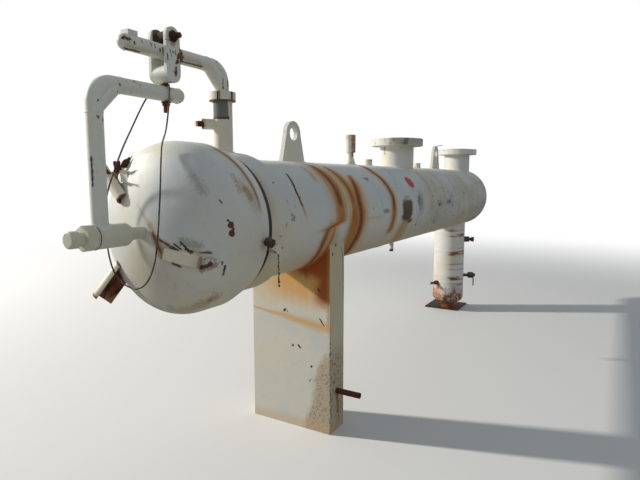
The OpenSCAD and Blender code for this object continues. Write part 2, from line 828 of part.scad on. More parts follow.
// Points of the wire sling, chosen by hand: from the swivel bolt over the hanger,
// down over the dome, round under the shaft and back up behind the hanger
sling_route = [
    [-960, -2, 1830], [-966, -12, 1830], [-980, -16, 1830], [-988, -35, 1815], [-996, -42, 1780],
    [-1008, -42, 1700], [-1024, -44, 1640],
    [-1052, -52, 1588], [-1086, -80, 1526], [-1124, -112, 1420], [-1142, -122, 1335], [-1152, -120, 1240],
    [-1150, -100, 1150], [-1142, -62, 1082], [-1130, -10, 1034], [-1124, 50, 1012], [-1130, 106, 1024],
    [-1146, 146, 1072], [-1156, 164, 1150], [-1160, 166, 1240], [-1160, 164, 1330], [-1158, 150, 1400],
    [-1152, 120, 1470], [-1144, 74, 1560], [-1110, 58, 1640], [-1046, 44, 1760], [-1000, 38, 1812],
    [-982, 17, 1830], [-966, 13, 1830], [-960, 3, 1830]
];

// A tube of n sides along a list of points, with a ring at each point and between
function unit(v) = v / norm(v);
function smooth_at(p, t) =
    let (n = len(p) - 1, s = min(floor(t), n - 1), f = t - s,
         a = p[max(s - 1, 0)], b = p[s], c = p[s + 1], d = p[min(s + 2, n)])
    0.5 * ((2 * b) + (c - a) * f + (2 * a - 5 * b + 4 * c - d) * f * f + (3 * b - 3 * c + d - a) * f * f * f);

module swept_tube(points, d, sides, rings) {
    last = len(points) - 1;
    path = [for (i = [0 : rings]) smooth_at(points, i * last / rings)];
    tangents = [for (i = [0 : rings]) unit(path[min(i + 1, rings)] - path[max(i - 1, 0)])];
    verts = [for (i = [0 : rings]) for (k = [0 : sides - 1])
        let (t = tangents[i], u = unit(cross(t, [0.2, 0.1, 1])), v = cross(t, u))
        path[i] + d / 2 * (cos(k * 360 / sides) * u + sin(k * 360 / sides) * v)];
    side_faces = [for (i = [0 : rings - 1]) for (k = [0 : sides - 1])
        let (a = i * sides + k, b = i * sides + (k + 1) % sides) [a, b, b + sides, a + sides]];
    ends = [[for (k = [sides - 1 : -1 : 0]) k], [for (k = [0 : sides - 1]) rings * sides + k]];
    polyhedron(verts, concat(side_faces, ends));
}

module wire_sling() {
    color([0.12, 0.13, 0.13]) swept_tube(sling_route, wire_d, 8, 78);
}

shell_course(shell_front, course_1_x);
shell_course(course_1_x, course_2_x);  // shell_middle
shell_course(course_2_x, shell_back);  // shell_rear
closure_ring();
rear_head();
nozzle_neck(nozzle_1_x);  // nozzle_1_neck
nozzle_flange(nozzle_1_x);  // nozzle_1_flange
nozzle_neck(nozzle_2_x);  // nozzle_2_neck
nozzle_flange(nozzle_2_x);  // nozzle_2_flange
saddle_base();
saddle_web(-saddle_l / 2);  // saddle_front_web
saddle_web(saddle_l / 2 - saddle_t);  // saddle_rear_web
saddle_side(-1);  // saddle_side_near
saddle_side(1);  // saddle_side_far
saddle_drain();
boot_pipe();
boot_cap();
boot_stub();
boot_base_plate();
boot_plug();
boot_valve();
boot_nipple();
lifting_lug(-lug_1_x);  // lifting_lug_front
lifting_lug(lug_2_x);  // lifting_lug_rear
vent_fitting();
half_couplings();
bottom_drain();
joint_lug();
davit_post();
lock_bolt();
davit_arm();
arm_collar();
arm_stop();
trolley_cheek(-cheek_gap / 2);  // trolley_cheek_near
trolley_cheek(cheek_gap / 2 + cheek_t);  // trolley_cheek_far
trolley_roller();
roller_bolt();
cross_tube();
swivel_bolt();
hanger_arm();
hanger_sleeve();
closure_head();
head_shaft();
shaft_nut();
shaft_knob();
head_bracket_near();
head_bracket_upper();
head_bracket_lower();
wire_sling();
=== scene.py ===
"""Looks of the white process vessel: camera, wire sling, welded and bolted detail, paint and rust.

All sizes are in metres, in the frame of the construction model: X runs along the vessel towards
its rear head, Z is up, and the origin is on the ground under the middle of the saddle.
"""

import math
import random

import bmesh
import bpy
from mathutils import Matrix, Vector


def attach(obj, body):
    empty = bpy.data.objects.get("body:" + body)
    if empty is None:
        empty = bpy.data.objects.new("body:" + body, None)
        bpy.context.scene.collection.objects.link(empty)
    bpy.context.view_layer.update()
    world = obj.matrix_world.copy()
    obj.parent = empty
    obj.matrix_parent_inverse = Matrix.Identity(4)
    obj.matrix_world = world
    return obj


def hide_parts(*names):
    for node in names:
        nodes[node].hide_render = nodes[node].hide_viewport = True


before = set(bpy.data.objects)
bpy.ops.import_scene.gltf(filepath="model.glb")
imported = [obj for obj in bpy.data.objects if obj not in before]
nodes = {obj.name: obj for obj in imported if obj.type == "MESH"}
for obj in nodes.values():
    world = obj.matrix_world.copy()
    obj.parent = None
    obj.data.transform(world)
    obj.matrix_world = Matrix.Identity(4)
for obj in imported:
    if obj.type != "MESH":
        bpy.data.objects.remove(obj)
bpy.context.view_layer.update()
scene = bpy.context.scene
scene.view_settings.view_transform = "Standard"

# ---------------------------------------------------------------- sizes shared with the source
AXIS_H = 1.244        # height of the vessel's centre line
SHELL_R = 0.305
RING_R = 0.332
SEAMS = (0.950, 2.250, 3.470)
LUGS = (-0.050, 2.520)
VENT_X = 0.675
COUPLINGS = (0.963, 2.014)
NOZZLES = (1.518, 3.31)
NECK_R = 0.1365
NECK_TOP = 1.7165
BOOT_X = 3.11
BOOT_R = 0.162
PIPE_WELD = 0.0022    # thickness of the beads on the davit's pipes
POST_X = -0.63
POST_R = 0.0445
POST_TOP = 1.808
ARM_Z = 1.958
PIPE_R = 0.03015
BOLT_X = -0.975
ROLLER_Z = 2.01345
HANGER_X = -1.31
HANGER_Z = 1.79485
SADDLE_L = 0.165
SADDLE_FACE = -SADDLE_L / 2       # X of the saddle's front
SADDLE_SIDE = -0.266              # Y of its near side
SLEEVE_FRONT = -1.3392
SLEEVE_R = 0.0445
CHEEK_FACE = -0.051               # Y of the near cheek's face
LOCK_FROM = Vector((POST_X, 0.0, 1.702))
LOCK_WAY = Vector((math.cos(math.radians(150)), math.sin(math.radians(150)), 0.0))
BRACKET_LINES = (      # centre lines of the upper, the lower and the near bracket
    (Vector((-1.0978, 0.1316, 1.3711)), Vector((-1.0887, 0.2633, 1.4983))),
    (Vector((-1.0523, 0.2132, 1.0891)), Vector((-1.1160, 0.3002, 0.9438))),
    (Vector((-1.1197, -0.1096, 1.1644)), Vector((-1.0650, -0.2541, 1.1309))),
)


# ---------------------------------------------------------------- camera
EYE = Vector((-2.4975, -1.619, 1.455))
HEADING = math.radians(30.39)
PITCH = math.radians(6.87)
RIGHT_X, RIGHT_Y = 0.506, 0.863   # its level direction to the right, which is +X and -Y

camera_data = bpy.data.cameras.new("camera")
camera_data.sensor_width = 36.0
camera_data.lens = 28.77
camera_data.clip_start = 0.05
camera_data.clip_end = 200.0
camera = bpy.data.objects.new("camera", camera_data)
camera.location = EYE
camera.rotation_euler = (math.pi / 2 - PITCH, 0.0, HEADING - math.pi / 2)
scene.collection.objects.link(camera)
scene.camera = camera


# ---------------------------------------------------------------- finishes
class Value:
    """One output of a shader node. Python's operators on it add Math nodes."""

    def __init__(self, owner, socket):
        self.owner = owner
        self.socket = socket

    def _math(self, operation, first, second=0.0):
        return self.owner.node("ShaderNodeMath", {"operation": operation}, {0: first, 1: second})

    def __add__(self, other):
        return self._math("ADD", self, other)

    __radd__ = __add__

    def __sub__(self, other):
        return self._math("SUBTRACT", self, other)

    def __rsub__(self, other):
        return self._math("SUBTRACT", other, self)

    def __mul__(self, other):
        return self._math("MULTIPLY", self, other)

    __rmul__ = __mul__

    def __truediv__(self, other):
        return self._math("DIVIDE", self, other)

    def __abs__(self):
        return self._math("ABSOLUTE", self)

    def over(self, other):
        return self._math("MAXIMUM", self, other)

    def under(self, other):
        return self._math("MINIMUM", self, other)

    def power(self, exponent):
        return self._math("POWER", self, exponent)


class Tree:
    """A node tree. All nodes but those that it starts with are made by its node method."""

    def __init__(self, tree):
        self.tree = tree

    def node(self, kind, settings, inputs, output=0):
        """Makes a node of that type: settings first, then the values or links of its sockets."""
        made = self.tree.nodes.new(kind)
        for key, value in settings.items():
            if key == "stops":
                elements = made.color_ramp.elements
                elements[0].position, elements[1].position = value[0][0], value[-1][0]
                for position, colour in value[1:-1]:
                    elements.new(position)
                for element, (position, colour) in zip(elements, value):
                    element.color = (*colour, 1.0)
            else:
                setattr(made, key, value)
        for key, value in inputs.items():
            socket = made.inputs[key]
            if isinstance(value, Value):
                self.link(value, socket)
            elif isinstance(value, tuple) and len(value) == 3 and socket.type == "RGBA":
                socket.default_value = (*value, 1.0)
            else:
                socket.default_value = value
        return Value(self, made.outputs[output])

    def link(self, value, socket):
        self.tree.links.new(value.socket, socket)

    def mix_shader(self, mask, first, second):
        return self.node("ShaderNodeMixShader", {}, {0: mask, 1: first, 2: second})


class Finish(Tree):
    """A material and its node tree, with its layers of paint, stain and rust."""

    def __init__(self, name):
        self.material = bpy.data.materials.new(name)
        self.material.use_nodes = True
        super().__init__(self.material.node_tree)
        self.shader = self.tree.nodes["Principled BSDF"]
        self.here = self.node("ShaderNodeTexCoord", {}, {}, "Object")
        split = self.node("ShaderNodeSeparateXYZ", {}, {0: self.here})
        outputs = split.socket.node.outputs
        self.x, self.y, self.z = (Value(self, outputs[i]) for i in range(3))

    def noise(self, scale, detail=3.0, roughness=0.55, at=None, distortion=0.0):
        return self.node("ShaderNodeTexNoise", {}, {
            "Vector": at or self.here, "Scale": scale, "Detail": detail,
            "Roughness": roughness, "Distortion": distortion})

    def cells(self, scale):
        """Distance to the nearest of many scattered points."""
        return self.node("ShaderNodeTexVoronoi", {}, {"Vector": self.here, "Scale": scale},
                         "Distance")

    def step(self, value, low, high):
        """0 below low, 1 above high, smooth between. High may lie below low."""
        return self.node("ShaderNodeMapRange", {"interpolation_type": "SMOOTHSTEP"},
                         {0: value, 1: low, 2: high})

    def between(self, value, low, full, fade, high):
        """1 from full to fade, 0 below low and above high, smooth between."""
        return self.step(value, low, full) * self.step(value, high, fade)

    def vector(self, x, y, z):
        return self.node("ShaderNodeCombineXYZ", {}, {0: x, 1: y, 2: z})

    def mix(self, mask, first, second):
        """Two colours mixed by a mask."""
        return self.node("ShaderNodeMix", {"data_type": "RGBA"}, {0: mask, 6: first, 7: second}, 2)

    def ramp(self, value, stops):
        return self.node("ShaderNodeValToRGB", {"stops": stops}, {0: value})

    def route(self, place, points):
        """A value that follows (place, value) points, straight between them."""
        places, values = zip(*points)
        low, reach = min(values), max(values) - min(values)
        span = places[-1] - places[0]
        stops = [((p - places[0]) / span, ((v - low) / reach,) * 3) for p, v in points]
        return self.ramp((place - places[0]) / span, stops) * reach + low

    def around(self, x, y):
        """Angle in degrees from x towards y."""
        turn = self.node("ShaderNodeMath", {"operation": "ARCTAN2"}, {0: y, 1: x})
        return turn * (180.0 / math.pi)

    def distance_to(self, start, end):
        """Distance of the surface point to a line from start to end, and its share of the way."""
        start, end = Vector(start), Vector(end)
        along = end - start
        offset = self.node("ShaderNodeVectorMath", {"operation": "SUBTRACT"},
                           {0: self.here, 1: tuple(start)})
        share = self.node("ShaderNodeVectorMath", {"operation": "DOT_PRODUCT"},
                          {0: offset, 1: tuple(along / along.length_squared)}, 1)
        share = share.over(0.0).under(1.0)
        foot = self.node("ShaderNodeVectorMath", {"operation": "SCALE"},
                         {0: tuple(along), "Scale": share})
        away = self.node("ShaderNodeVectorMath", {"operation": "DISTANCE"}, {0: offset, 1: foot}, 1)
        return away, share

    def along(self, start, direction):
        """How far the surface point lies from start in a direction."""
        offset = self.node("ShaderNodeVectorMath", {"operation": "SUBTRACT"},
                           {0: self.here, 1: tuple(start)})
        return self.node("ShaderNodeVectorMath", {"operation": "DOT_PRODUCT"},
                         {0: offset, 1: tuple(direction)}, 1)

    def near(self, centre, radius, rough, soft):
        """A round spot on the surface: 1 within it, 0 outside, with an uneven edge."""
        away = self.node("ShaderNodeVectorMath", {"operation": "DISTANCE"},
                         {0: self.here, 1: centre}, 1)
        return self.step(away / radius + rough, 1.0, 1.0 - soft)

    def close(self, colour, roughness, height=None, depth=0.001, metallic=0.0):
        """Sends the finished layers into the shader."""
        for key, value in (("Base Color", colour), ("Roughness", roughness),
                           ("Metallic", metallic)):
            if isinstance(value, Value):
                self.link(value, self.shader.inputs[key])
            elif isinstance(value, tuple):
                self.shader.inputs[key].default_value = (*value, 1.0)
            else:
                self.shader.inputs[key].default_value = value
        if height is not None:
            bump = self.node("ShaderNodeBump", {}, {
                "Strength": 1.0, "Distance": depth, "Height": height}, "Normal")
            self.link(bump, self.shader.inputs["Normal"])
        return self.material


RUST_STOPS = (
    (0.25, (0.030, 0.010, 0.006)),
    (0.45, (0.105, 0.030, 0.012)),
    (0.62, (0.230, 0.075, 0.025)),
    (0.80, (0.400, 0.160, 0.055)),
)
STAIN = (0.520, 0.205, 0.055)
STAIN_PALE = (0.680, 0.420, 0.190)
RUN = (0.420, 0.150, 0.026)
RUN_CORE = (0.175, 0.048, 0.014)
SOOT = (0.030, 0.030, 0.028)
WHITE = (0.700, 0.700, 0.660)
WHITE_COOL = (0.610, 0.640, 0.640)
WHITE_WARM = (0.740, 0.690, 0.560)


class Coat:
    """Old white paint, built up in layers: tone, dirt, stains, chips and rust; the stain and soot
    layers also carry painted shade.
    """

    def __init__(self, name, white=WHITE, warm=WHITE_WARM, chips=0.0, chip_size=60.0, grime=0.4):
        f = self.f = Finish(name)
        self.broad = f.noise(2.3, 4.0, 0.6)
        self.fine = f.noise(34.0, 5.0, 0.65)
        self.speck = f.noise(140.0, 3.0, 0.6)
        tone = f.mix(f.step(self.broad, 0.42, 0.66), white, warm)
        tone = f.mix(f.step(self.broad, 0.46, 0.26) * 0.8, tone, WHITE_COOL)
        self.colour = f.mix(f.step(self.fine, 0.52, 0.78) * 0.28 * grime, tone, (0.36, 0.33, 0.26))
        self.roughness = 0.46 + self.fine * 0.22
        self.height = self.fine * 0.35 + self.speck * 0.10
        self.rust_tone = f.ramp(f.noise(26.0, 6.0, 0.7), RUST_STOPS)
        self.edge = (f.noise(21.0, 5.0, 0.68) - 0.5) * 1.6
        self.ragged = (f.noise(78.0, 6.0, 0.76) - 0.5) * 3.4
        if chips:
            spread = f.noise(4.2, 3.0, 0.6)
            spots = f.noise(chip_size, 7.0, 0.74, distortion=0.6)
            lump = spots * 0.60 + spread * 0.40
            limit = 0.685 - 0.055 * chips
            self.stain_and_shade(f.step(lump, limit - 0.035, limit + 0.01) * 0.30, STAIN_PALE)
            self.rust(f.step(lump, limit, limit + 0.008))

    def _cover(self, mask, colour, roughness, lift):
        self.colour = self.f.mix(mask, self.colour, colour)
        self.roughness = self.roughness * (1 - mask) + mask * roughness
        self.height = self.height + mask * lift

    def stain_and_shade(self, mask, colour=STAIN):
        """Rust water that dried on the paint, and painted shade where a finish uses it for that."""
        self.colour = self.f.mix(mask, self.colour, colour)
        self.roughness = self.roughness + mask * 0.10

    def rust(self, mask, lift=-0.5):
        """Paint gone, with scale below it."""
        self._cover(mask, self.rust_tone, 0.90, lift)

    def soot_and_shade(self, mask, colour=SOOT):
        """Black marks and dirt, and painted shade in gaps and holes."""
        self._cover(mask, colour, 0.80, 0.0)

    def blot(self, across, down, uneven=0.45, edge=0.15, square=True):
        """A mark with an uneven outline; across and down are 1 at its sides."""
        exponent = 4.0 if square else 2.0
        away = (abs(across).power(exponent) + abs(down).power(exponent)).power(1.0 / exponent)
        return self.f.step(away + self.ragged * uneven, 1.0, 1.0 - edge)

    def stroke(self, start, end, half, uneven=0.5, edge=0.4):
        """A scratch or a dash on the surface from start to end."""
        away = self.f.distance_to(start, end)[0]
        return self.f.step(away / half + self.ragged * uneven, 1.0, 1.0 - edge)

    def dash(self, x, y, z, tall, half, colour, how=1.0, lean=0.0, uneven=0.9):
        """A short dark dash, upright on a face at y."""
        mask = self.stroke((x, y, z + tall / 2), (x + lean, y, z - tall / 2), half, uneven, 0.3)
        self.soot_and_shade(mask * how, colour)

    def done(self):
        return self.f.close(self.colour, self.roughness, self.height, 0.0012)


def shell_paint():
    """The shell's paint, with the rust that ran down from the top."""
    c = Coat("vessel_shell_paint", chips=0.35, chip_size=42.0, grime=0.8)
    f = c.f
    turn = f.around(f.z - AXIS_H, 0.0 - f.y)
    grain = f.noise(1.0, 4.0, 0.6, f.vector(f.x * 55.0, turn * 0.030, 3.0)) - 0.5
    drift = f.noise(1.0, 3.0, 0.5, f.vector(f.x * 3.0, turn * 0.022, 7.0)) - 0.5

    def run(route, half, start, end, edge=0.90, fade=8.0, wander=0.020):
        """A run of rust down the shell; route gives its x at angles below the top."""
        middle = f.route(turn, route) if isinstance(route, tuple) else route
        taper = f.step(turn, start - 4.0, start + 22.0) * 0.65 + 0.35
        away = abs(f.x - middle - drift * wander) / (taper * half) + grain * 0.9
        mask = f.step(away, 1.0, 1.0 - edge)
        return mask * f.between(turn, start - 1.5, start + fade * 0.5, end, end + fade)

    def patch(x, angle, half_x, half_a, uneven=0.45, edge=0.15, square=True):
        """A mark on the shell, in x and angle."""
        return c.blot((f.x - x) / half_x, (turn - angle) / half_a, uneven, edge, square)

    # painted shade: a cool, darker shoulder on both sides; then faint streaks all along, and a
    # warmer, darker underside
    shoulder_shade = f.between(abs(turn), 8.0, 30.0, 62.0, 105.0)
    c.stain_and_shade(shoulder_shade * 0.60, (0.42, 0.485, 0.52))
    c.stain_and_shade(f.step(grain, 0.14, 0.32) * 0.38, (0.50, 0.42, 0.28))
    c.soot_and_shade(f.step(grain + c.edge * 0.10, -0.18, -0.34) * 0.20, (0.20, 0.20, 0.19))
    below = f.step(abs(turn), 100.0, 150.0)
    c.stain_and_shade(below * 0.65, (0.56, 0.43, 0.22))
    c.stain_and_shade(f.step(f.x, -0.50, -0.74) * f.step(turn, 40.0, 110.0) * 0.35, (0.62, 0.46, 0.22))
    rear = f.step(f.x, 1.25, 1.75) * f.between(turn, 16.0, 50.0, 110.0, 150.0)
    scratch = f.noise(1.0, 6.0, 0.72, f.vector(f.x * 26.0, turn * 0.16, 11.0))
    c.stain_and_shade(f.step(f.x, 0.70, 1.70) * f.between(turn, 28.0, 70.0, 120.0, 160.0) * 0.32,
            (0.42, 0.43, 0.35))
    c.soot_and_shade(rear * f.step(scratch, 0.545, 0.65) * 0.80, (0.13, 0.125, 0.10))
    c.stain_and_shade(rear * f.step(drift, -0.10, 0.12) * 0.60, (0.43, 0.40, 0.28))
    c.soot_and_shade(patch(1.290, 84, 0.070, 24, 0.7, 0.8) * 0.60, (0.21, 0.18, 0.11))
    c.soot_and_shade(patch(1.800, 88, 0.110, 15, 0.8, 0.9) * 0.40, (0.22, 0.22, 0.15))
    c.soot_and_shade(patch(2.080, 82, 0.130, 11, 0.8, 0.9) * 0.36, (0.20, 0.21, 0.17))
    c.stain_and_shade(patch(1.700, 60, 0.110, 32, 0.3, 0.9) * 0.60, (0.46, 0.41, 0.26))
    c.soot_and_shade(f.step(f.x, 2.85, 3.35) * f.step(turn, 82, 105) * f.step(scratch, 0.50, 0.60) * 0.65,
           (0.13, 0.12, 0.07))

    # soft orange runs: below the first lug, the vent, the couplings and the brown patch
    main = ((22, -0.040), (42, -0.030), (60, -0.024), (87, -0.014), (94, -0.020), (100.5, -0.165),
            (114, -0.182), (150, -0.150))
    second = ((22, 0.090), (46, 0.119), (59, 0.135), (84, 0.144), (120, 0.150))
    third = ((40, 0.262), (49, 0.250), (62, 0.228), (74, 0.216), (90, 0.228), (108, 0.232),
             (126, 0.226), (150, 0.275))
    fourth = ((8, 0.690), (34, 0.668), (49, 0.700), (72, 0.738), (116, 0.742))
    drip = ((100, 0.985), (125, 0.995), (142, 1.060))
    for route, half, start, end in (
            (main, 0.170, 18, 99), (((94, -0.125), (110, -0.120), (160, -0.110)), 0.150, 91, 160),
            (second, 0.110, 22, 120), (third, 0.160, 40, 160), (fourth, 0.100, 8, 120),
            (((78, 0.150), (104, 0.160), (160, 0.215)), 0.160, 82, 158)):
        c.stain_and_shade(run(route, half, start, end, 0.95) * 0.84, (0.56, 0.35, 0.11))
    for route, half, start, end, how in (
            (main, 0.094, 20, 97, 0.96), (main, 0.062, 92, 160, 0.92),
            (second, 0.062, 22, 98, 0.90), (third, 0.088, 40, 160, 0.98),
            (fourth, 0.058, 8, 116, 0.96), (((78, 0.130), (160, 0.165)), 0.100, 84, 150, 0.80),
            (((94, -0.085), (160, -0.110)), 0.040, 99, 152, 0.80),
            (-0.168, 0.028, 18, 46, 0.60), (1.540, 0.090, 18, 95, 0.30),
            (1.900, 0.050, 20, 80, 0.25), (2.650, 0.060, 10, 70, 0.25)):
        c.stain_and_shade(run(route, half, start, end) * how, RUN)
    c.stain_and_shade(run(drip, 0.150, 96, 146, 0.85) * 0.90, (0.52, 0.30, 0.09))
    # their dark cores
    for route, half, start, end, how in (
            (main, 0.044, 24, 74, 0.90), (main, 0.024, 90, 150, 0.65),
            (second, 0.020, 26, 70, 0.65), (third, 0.036, 46, 150, 1.00),
            (fourth, 0.028, 12, 86, 1.00), (fourth, 0.014, 82, 106, 0.50)):
        c.stain_and_shade(run(route, half, start, end, 0.85) * how, RUN_CORE)
        c.rust(run(route, half * 0.40, start + 6, end - 8, 0.9) * how * 0.7, 0.1)
    # the far side, which the photograph hides, in the same way
    for x, half, start, end, how in ((0.050, 0.055, 16, 96, 0.65), (0.720, 0.045, 12, 120, 0.75),
                                     (1.020, 0.032, 12, 80, 0.60), (2.080, 0.036, 14, 95, 0.50)):
        away = abs(f.x - x - drift * 0.06) / half + grain * 0.9
        down = f.between(turn, -start, -start - 6.0, -end, -end - 10.0)
        c.stain_and_shade(f.step(away, 1.0, 0.1) * down * how, RUN)
        c.stain_and_shade(f.step(away * 2.4, 1.0, 0.1) * down * how * 0.8, RUN_CORE)
    # rust water that crept along the long seam
    along = f.step(abs(turn - 96.0 - grain * 4.0), 3.2, 0.8)
    c.stain_and_shade(along * f.between(f.x, 0.25, 0.32, 0.50, 0.62) * 0.35, (0.56, 0.36, 0.14))

    # painted shade: the joint's gap is painted black as its shade, with a brown stain beside it
    band = f.step(f.x + grain * 0.003, -0.7085, -0.7115) * f.step(abs(turn), 27.0, 37.0)
    band = band.over(f.step(f.x + grain * 0.002, -0.7200, -0.7240))
    warm = f.step(f.x + grain * 0.02, -0.650, -0.712) * f.between(turn, 34, 50, 74, 92)
    c.stain_and_shade(warm * 0.55, (0.50, 0.33, 0.17))
    c.soot_and_shade(band * f.step(abs(turn), 150.0, 125.0), (0.012, 0.011, 0.010))

    # blots, chips and scrapes
    brown = patch(0.995, 92.5, 0.106, 15.4, 0.50, 0.12)
    c.soot_and_shade(brown * 0.97, (0.052, 0.029, 0.017))
    c.rust(brown * f.step(c.fine, 0.50, 0.60) * 0.45, 0.0)
    c.rust(patch(1.075, 108.5, 0.050, 3.6, 0.5) * 0.9)
    c.stain_and_shade(patch(1.000, 75.0, 0.080, 3.0, 0.7, 0.8) * 0.5, (0.20, 0.13, 0.08))
    c.soot_and_shade(patch(1.240, 82, 0.050, 10, 0.75, 0.7) * 0.70, (0.09, 0.075, 0.06))
    c.soot_and_shade(run(1.250, 0.026, 62, 112, 0.9) * f.step(scratch, 0.42, 0.60) * 0.55,
           (0.10, 0.09, 0.075))
    c.soot_and_shade(patch(1.745, 91.0, 0.074, 4.2, 1.10, 0.7, False) * 0.85, (0.085, 0.068, 0.050))
    c.soot_and_shade(patch(1.700, 86.0, 0.034, 2.4, 1.20, 0.7, False) * 0.60, (0.10, 0.085, 0.065))
    c.soot_and_shade(patch(2.020, 89.0, 0.094, 5.0, 1.20, 0.7, False) * 0.80, (0.090, 0.078, 0.050))
    c.soot_and_shade(patch(2.130, 95.0, 0.050, 2.6, 1.20, 0.7, False) * 0.55, (0.12, 0.10, 0.07))
    c.soot_and_shade(patch(2.530, 76.5, 0.026, 4.4, 0.90, 0.6, False) * 0.75, (0.06, 0.06, 0.055))
    c.soot_and_shade(patch(1.700, 118.6, 0.018, 3.4, 0.6, 0.4) * 0.80, (0.07, 0.06, 0.05))
    c.soot_and_shade(patch(1.262, 118.0, 0.020, 1.6, 0.8, 0.4) * 0.80, (0.08, 0.07, 0.05))
    wedge = (turn - 44.5) / 6.5
    across = (f.x - 0.456 - wedge * 0.006) / 0.046 / (1.10 - wedge).over(0.12)
    c.soot_and_shade(c.blot(across, wedge * 2 - 1, 0.4) * 0.75, (0.10, 0.10, 0.10))
    c.soot_and_shade(patch(0.604, 90.3, 0.066, 4.0, 0.90, 0.6, False) * 0.70, (0.13, 0.080, 0.070))
    for route, half, start, end, how in ((((50, 0.502), (80, 0.545)), 0.0050, 50, 84, 0.50),
                                         (((14, 1.000), (58, 0.880)), 0.0050, 14, 56, 0.60),
                                         (((18, 1.060), (60, 0.945)), 0.0035, 20, 44, 0.40)):
        c.soot_and_shade(run(route, half, start, end, 0.6, 4.0, 0.0) * how, (0.10, 0.10, 0.10))
    away = f.x - f.route(turn, ((38, -0.396), (61, -0.420), (72, -0.412), (86, -0.386)))
    slash = f.step(abs(away + grain * 0.012), 0.0115, 0.0070)
    c.soot_and_shade(slash * f.between(turn, 38.5, 41, 60, 66), (0.018, 0.014, 0.012))
    c.stain_and_shade(slash * f.between(turn, 57, 62, 74, 78), (0.110, 0.018, 0.010))
    c.stain_and_shade(slash * f.between(turn, 74, 77, 80, 90) * 0.65)
    c.stain_and_shade(patch(1.178, 53, 0.068, 10.5, 0.28, 0.16, False) * 0.98, (0.400, 0.010, 0.030))
    # scuffs between the joint and the slash
    for x, angle, half_x, half_a, how in (
            (-0.500, 84.5, 0.024, 4.6, 0.70), (-0.560, 71.0, 0.018, 3.0, 0.50),
            (-0.545, 79.0, 0.032, 2.6, 0.50), (-0.600, 89.5, 0.012, 2.4, 0.50),
            (-0.468, 74.5, 0.014, 2.2, 0.55), (-0.640, 97.5, 0.024, 1.6, 0.45)):
        c.soot_and_shade(patch(x, angle, half_x, half_a, 1.3, 0.8, False) * how, (0.09, 0.09, 0.08))
    c.soot_and_shade(f.step(f.cells(7.5) + c.ragged * 0.030, 0.052, 0.040) * 0.75)
    return c.done()


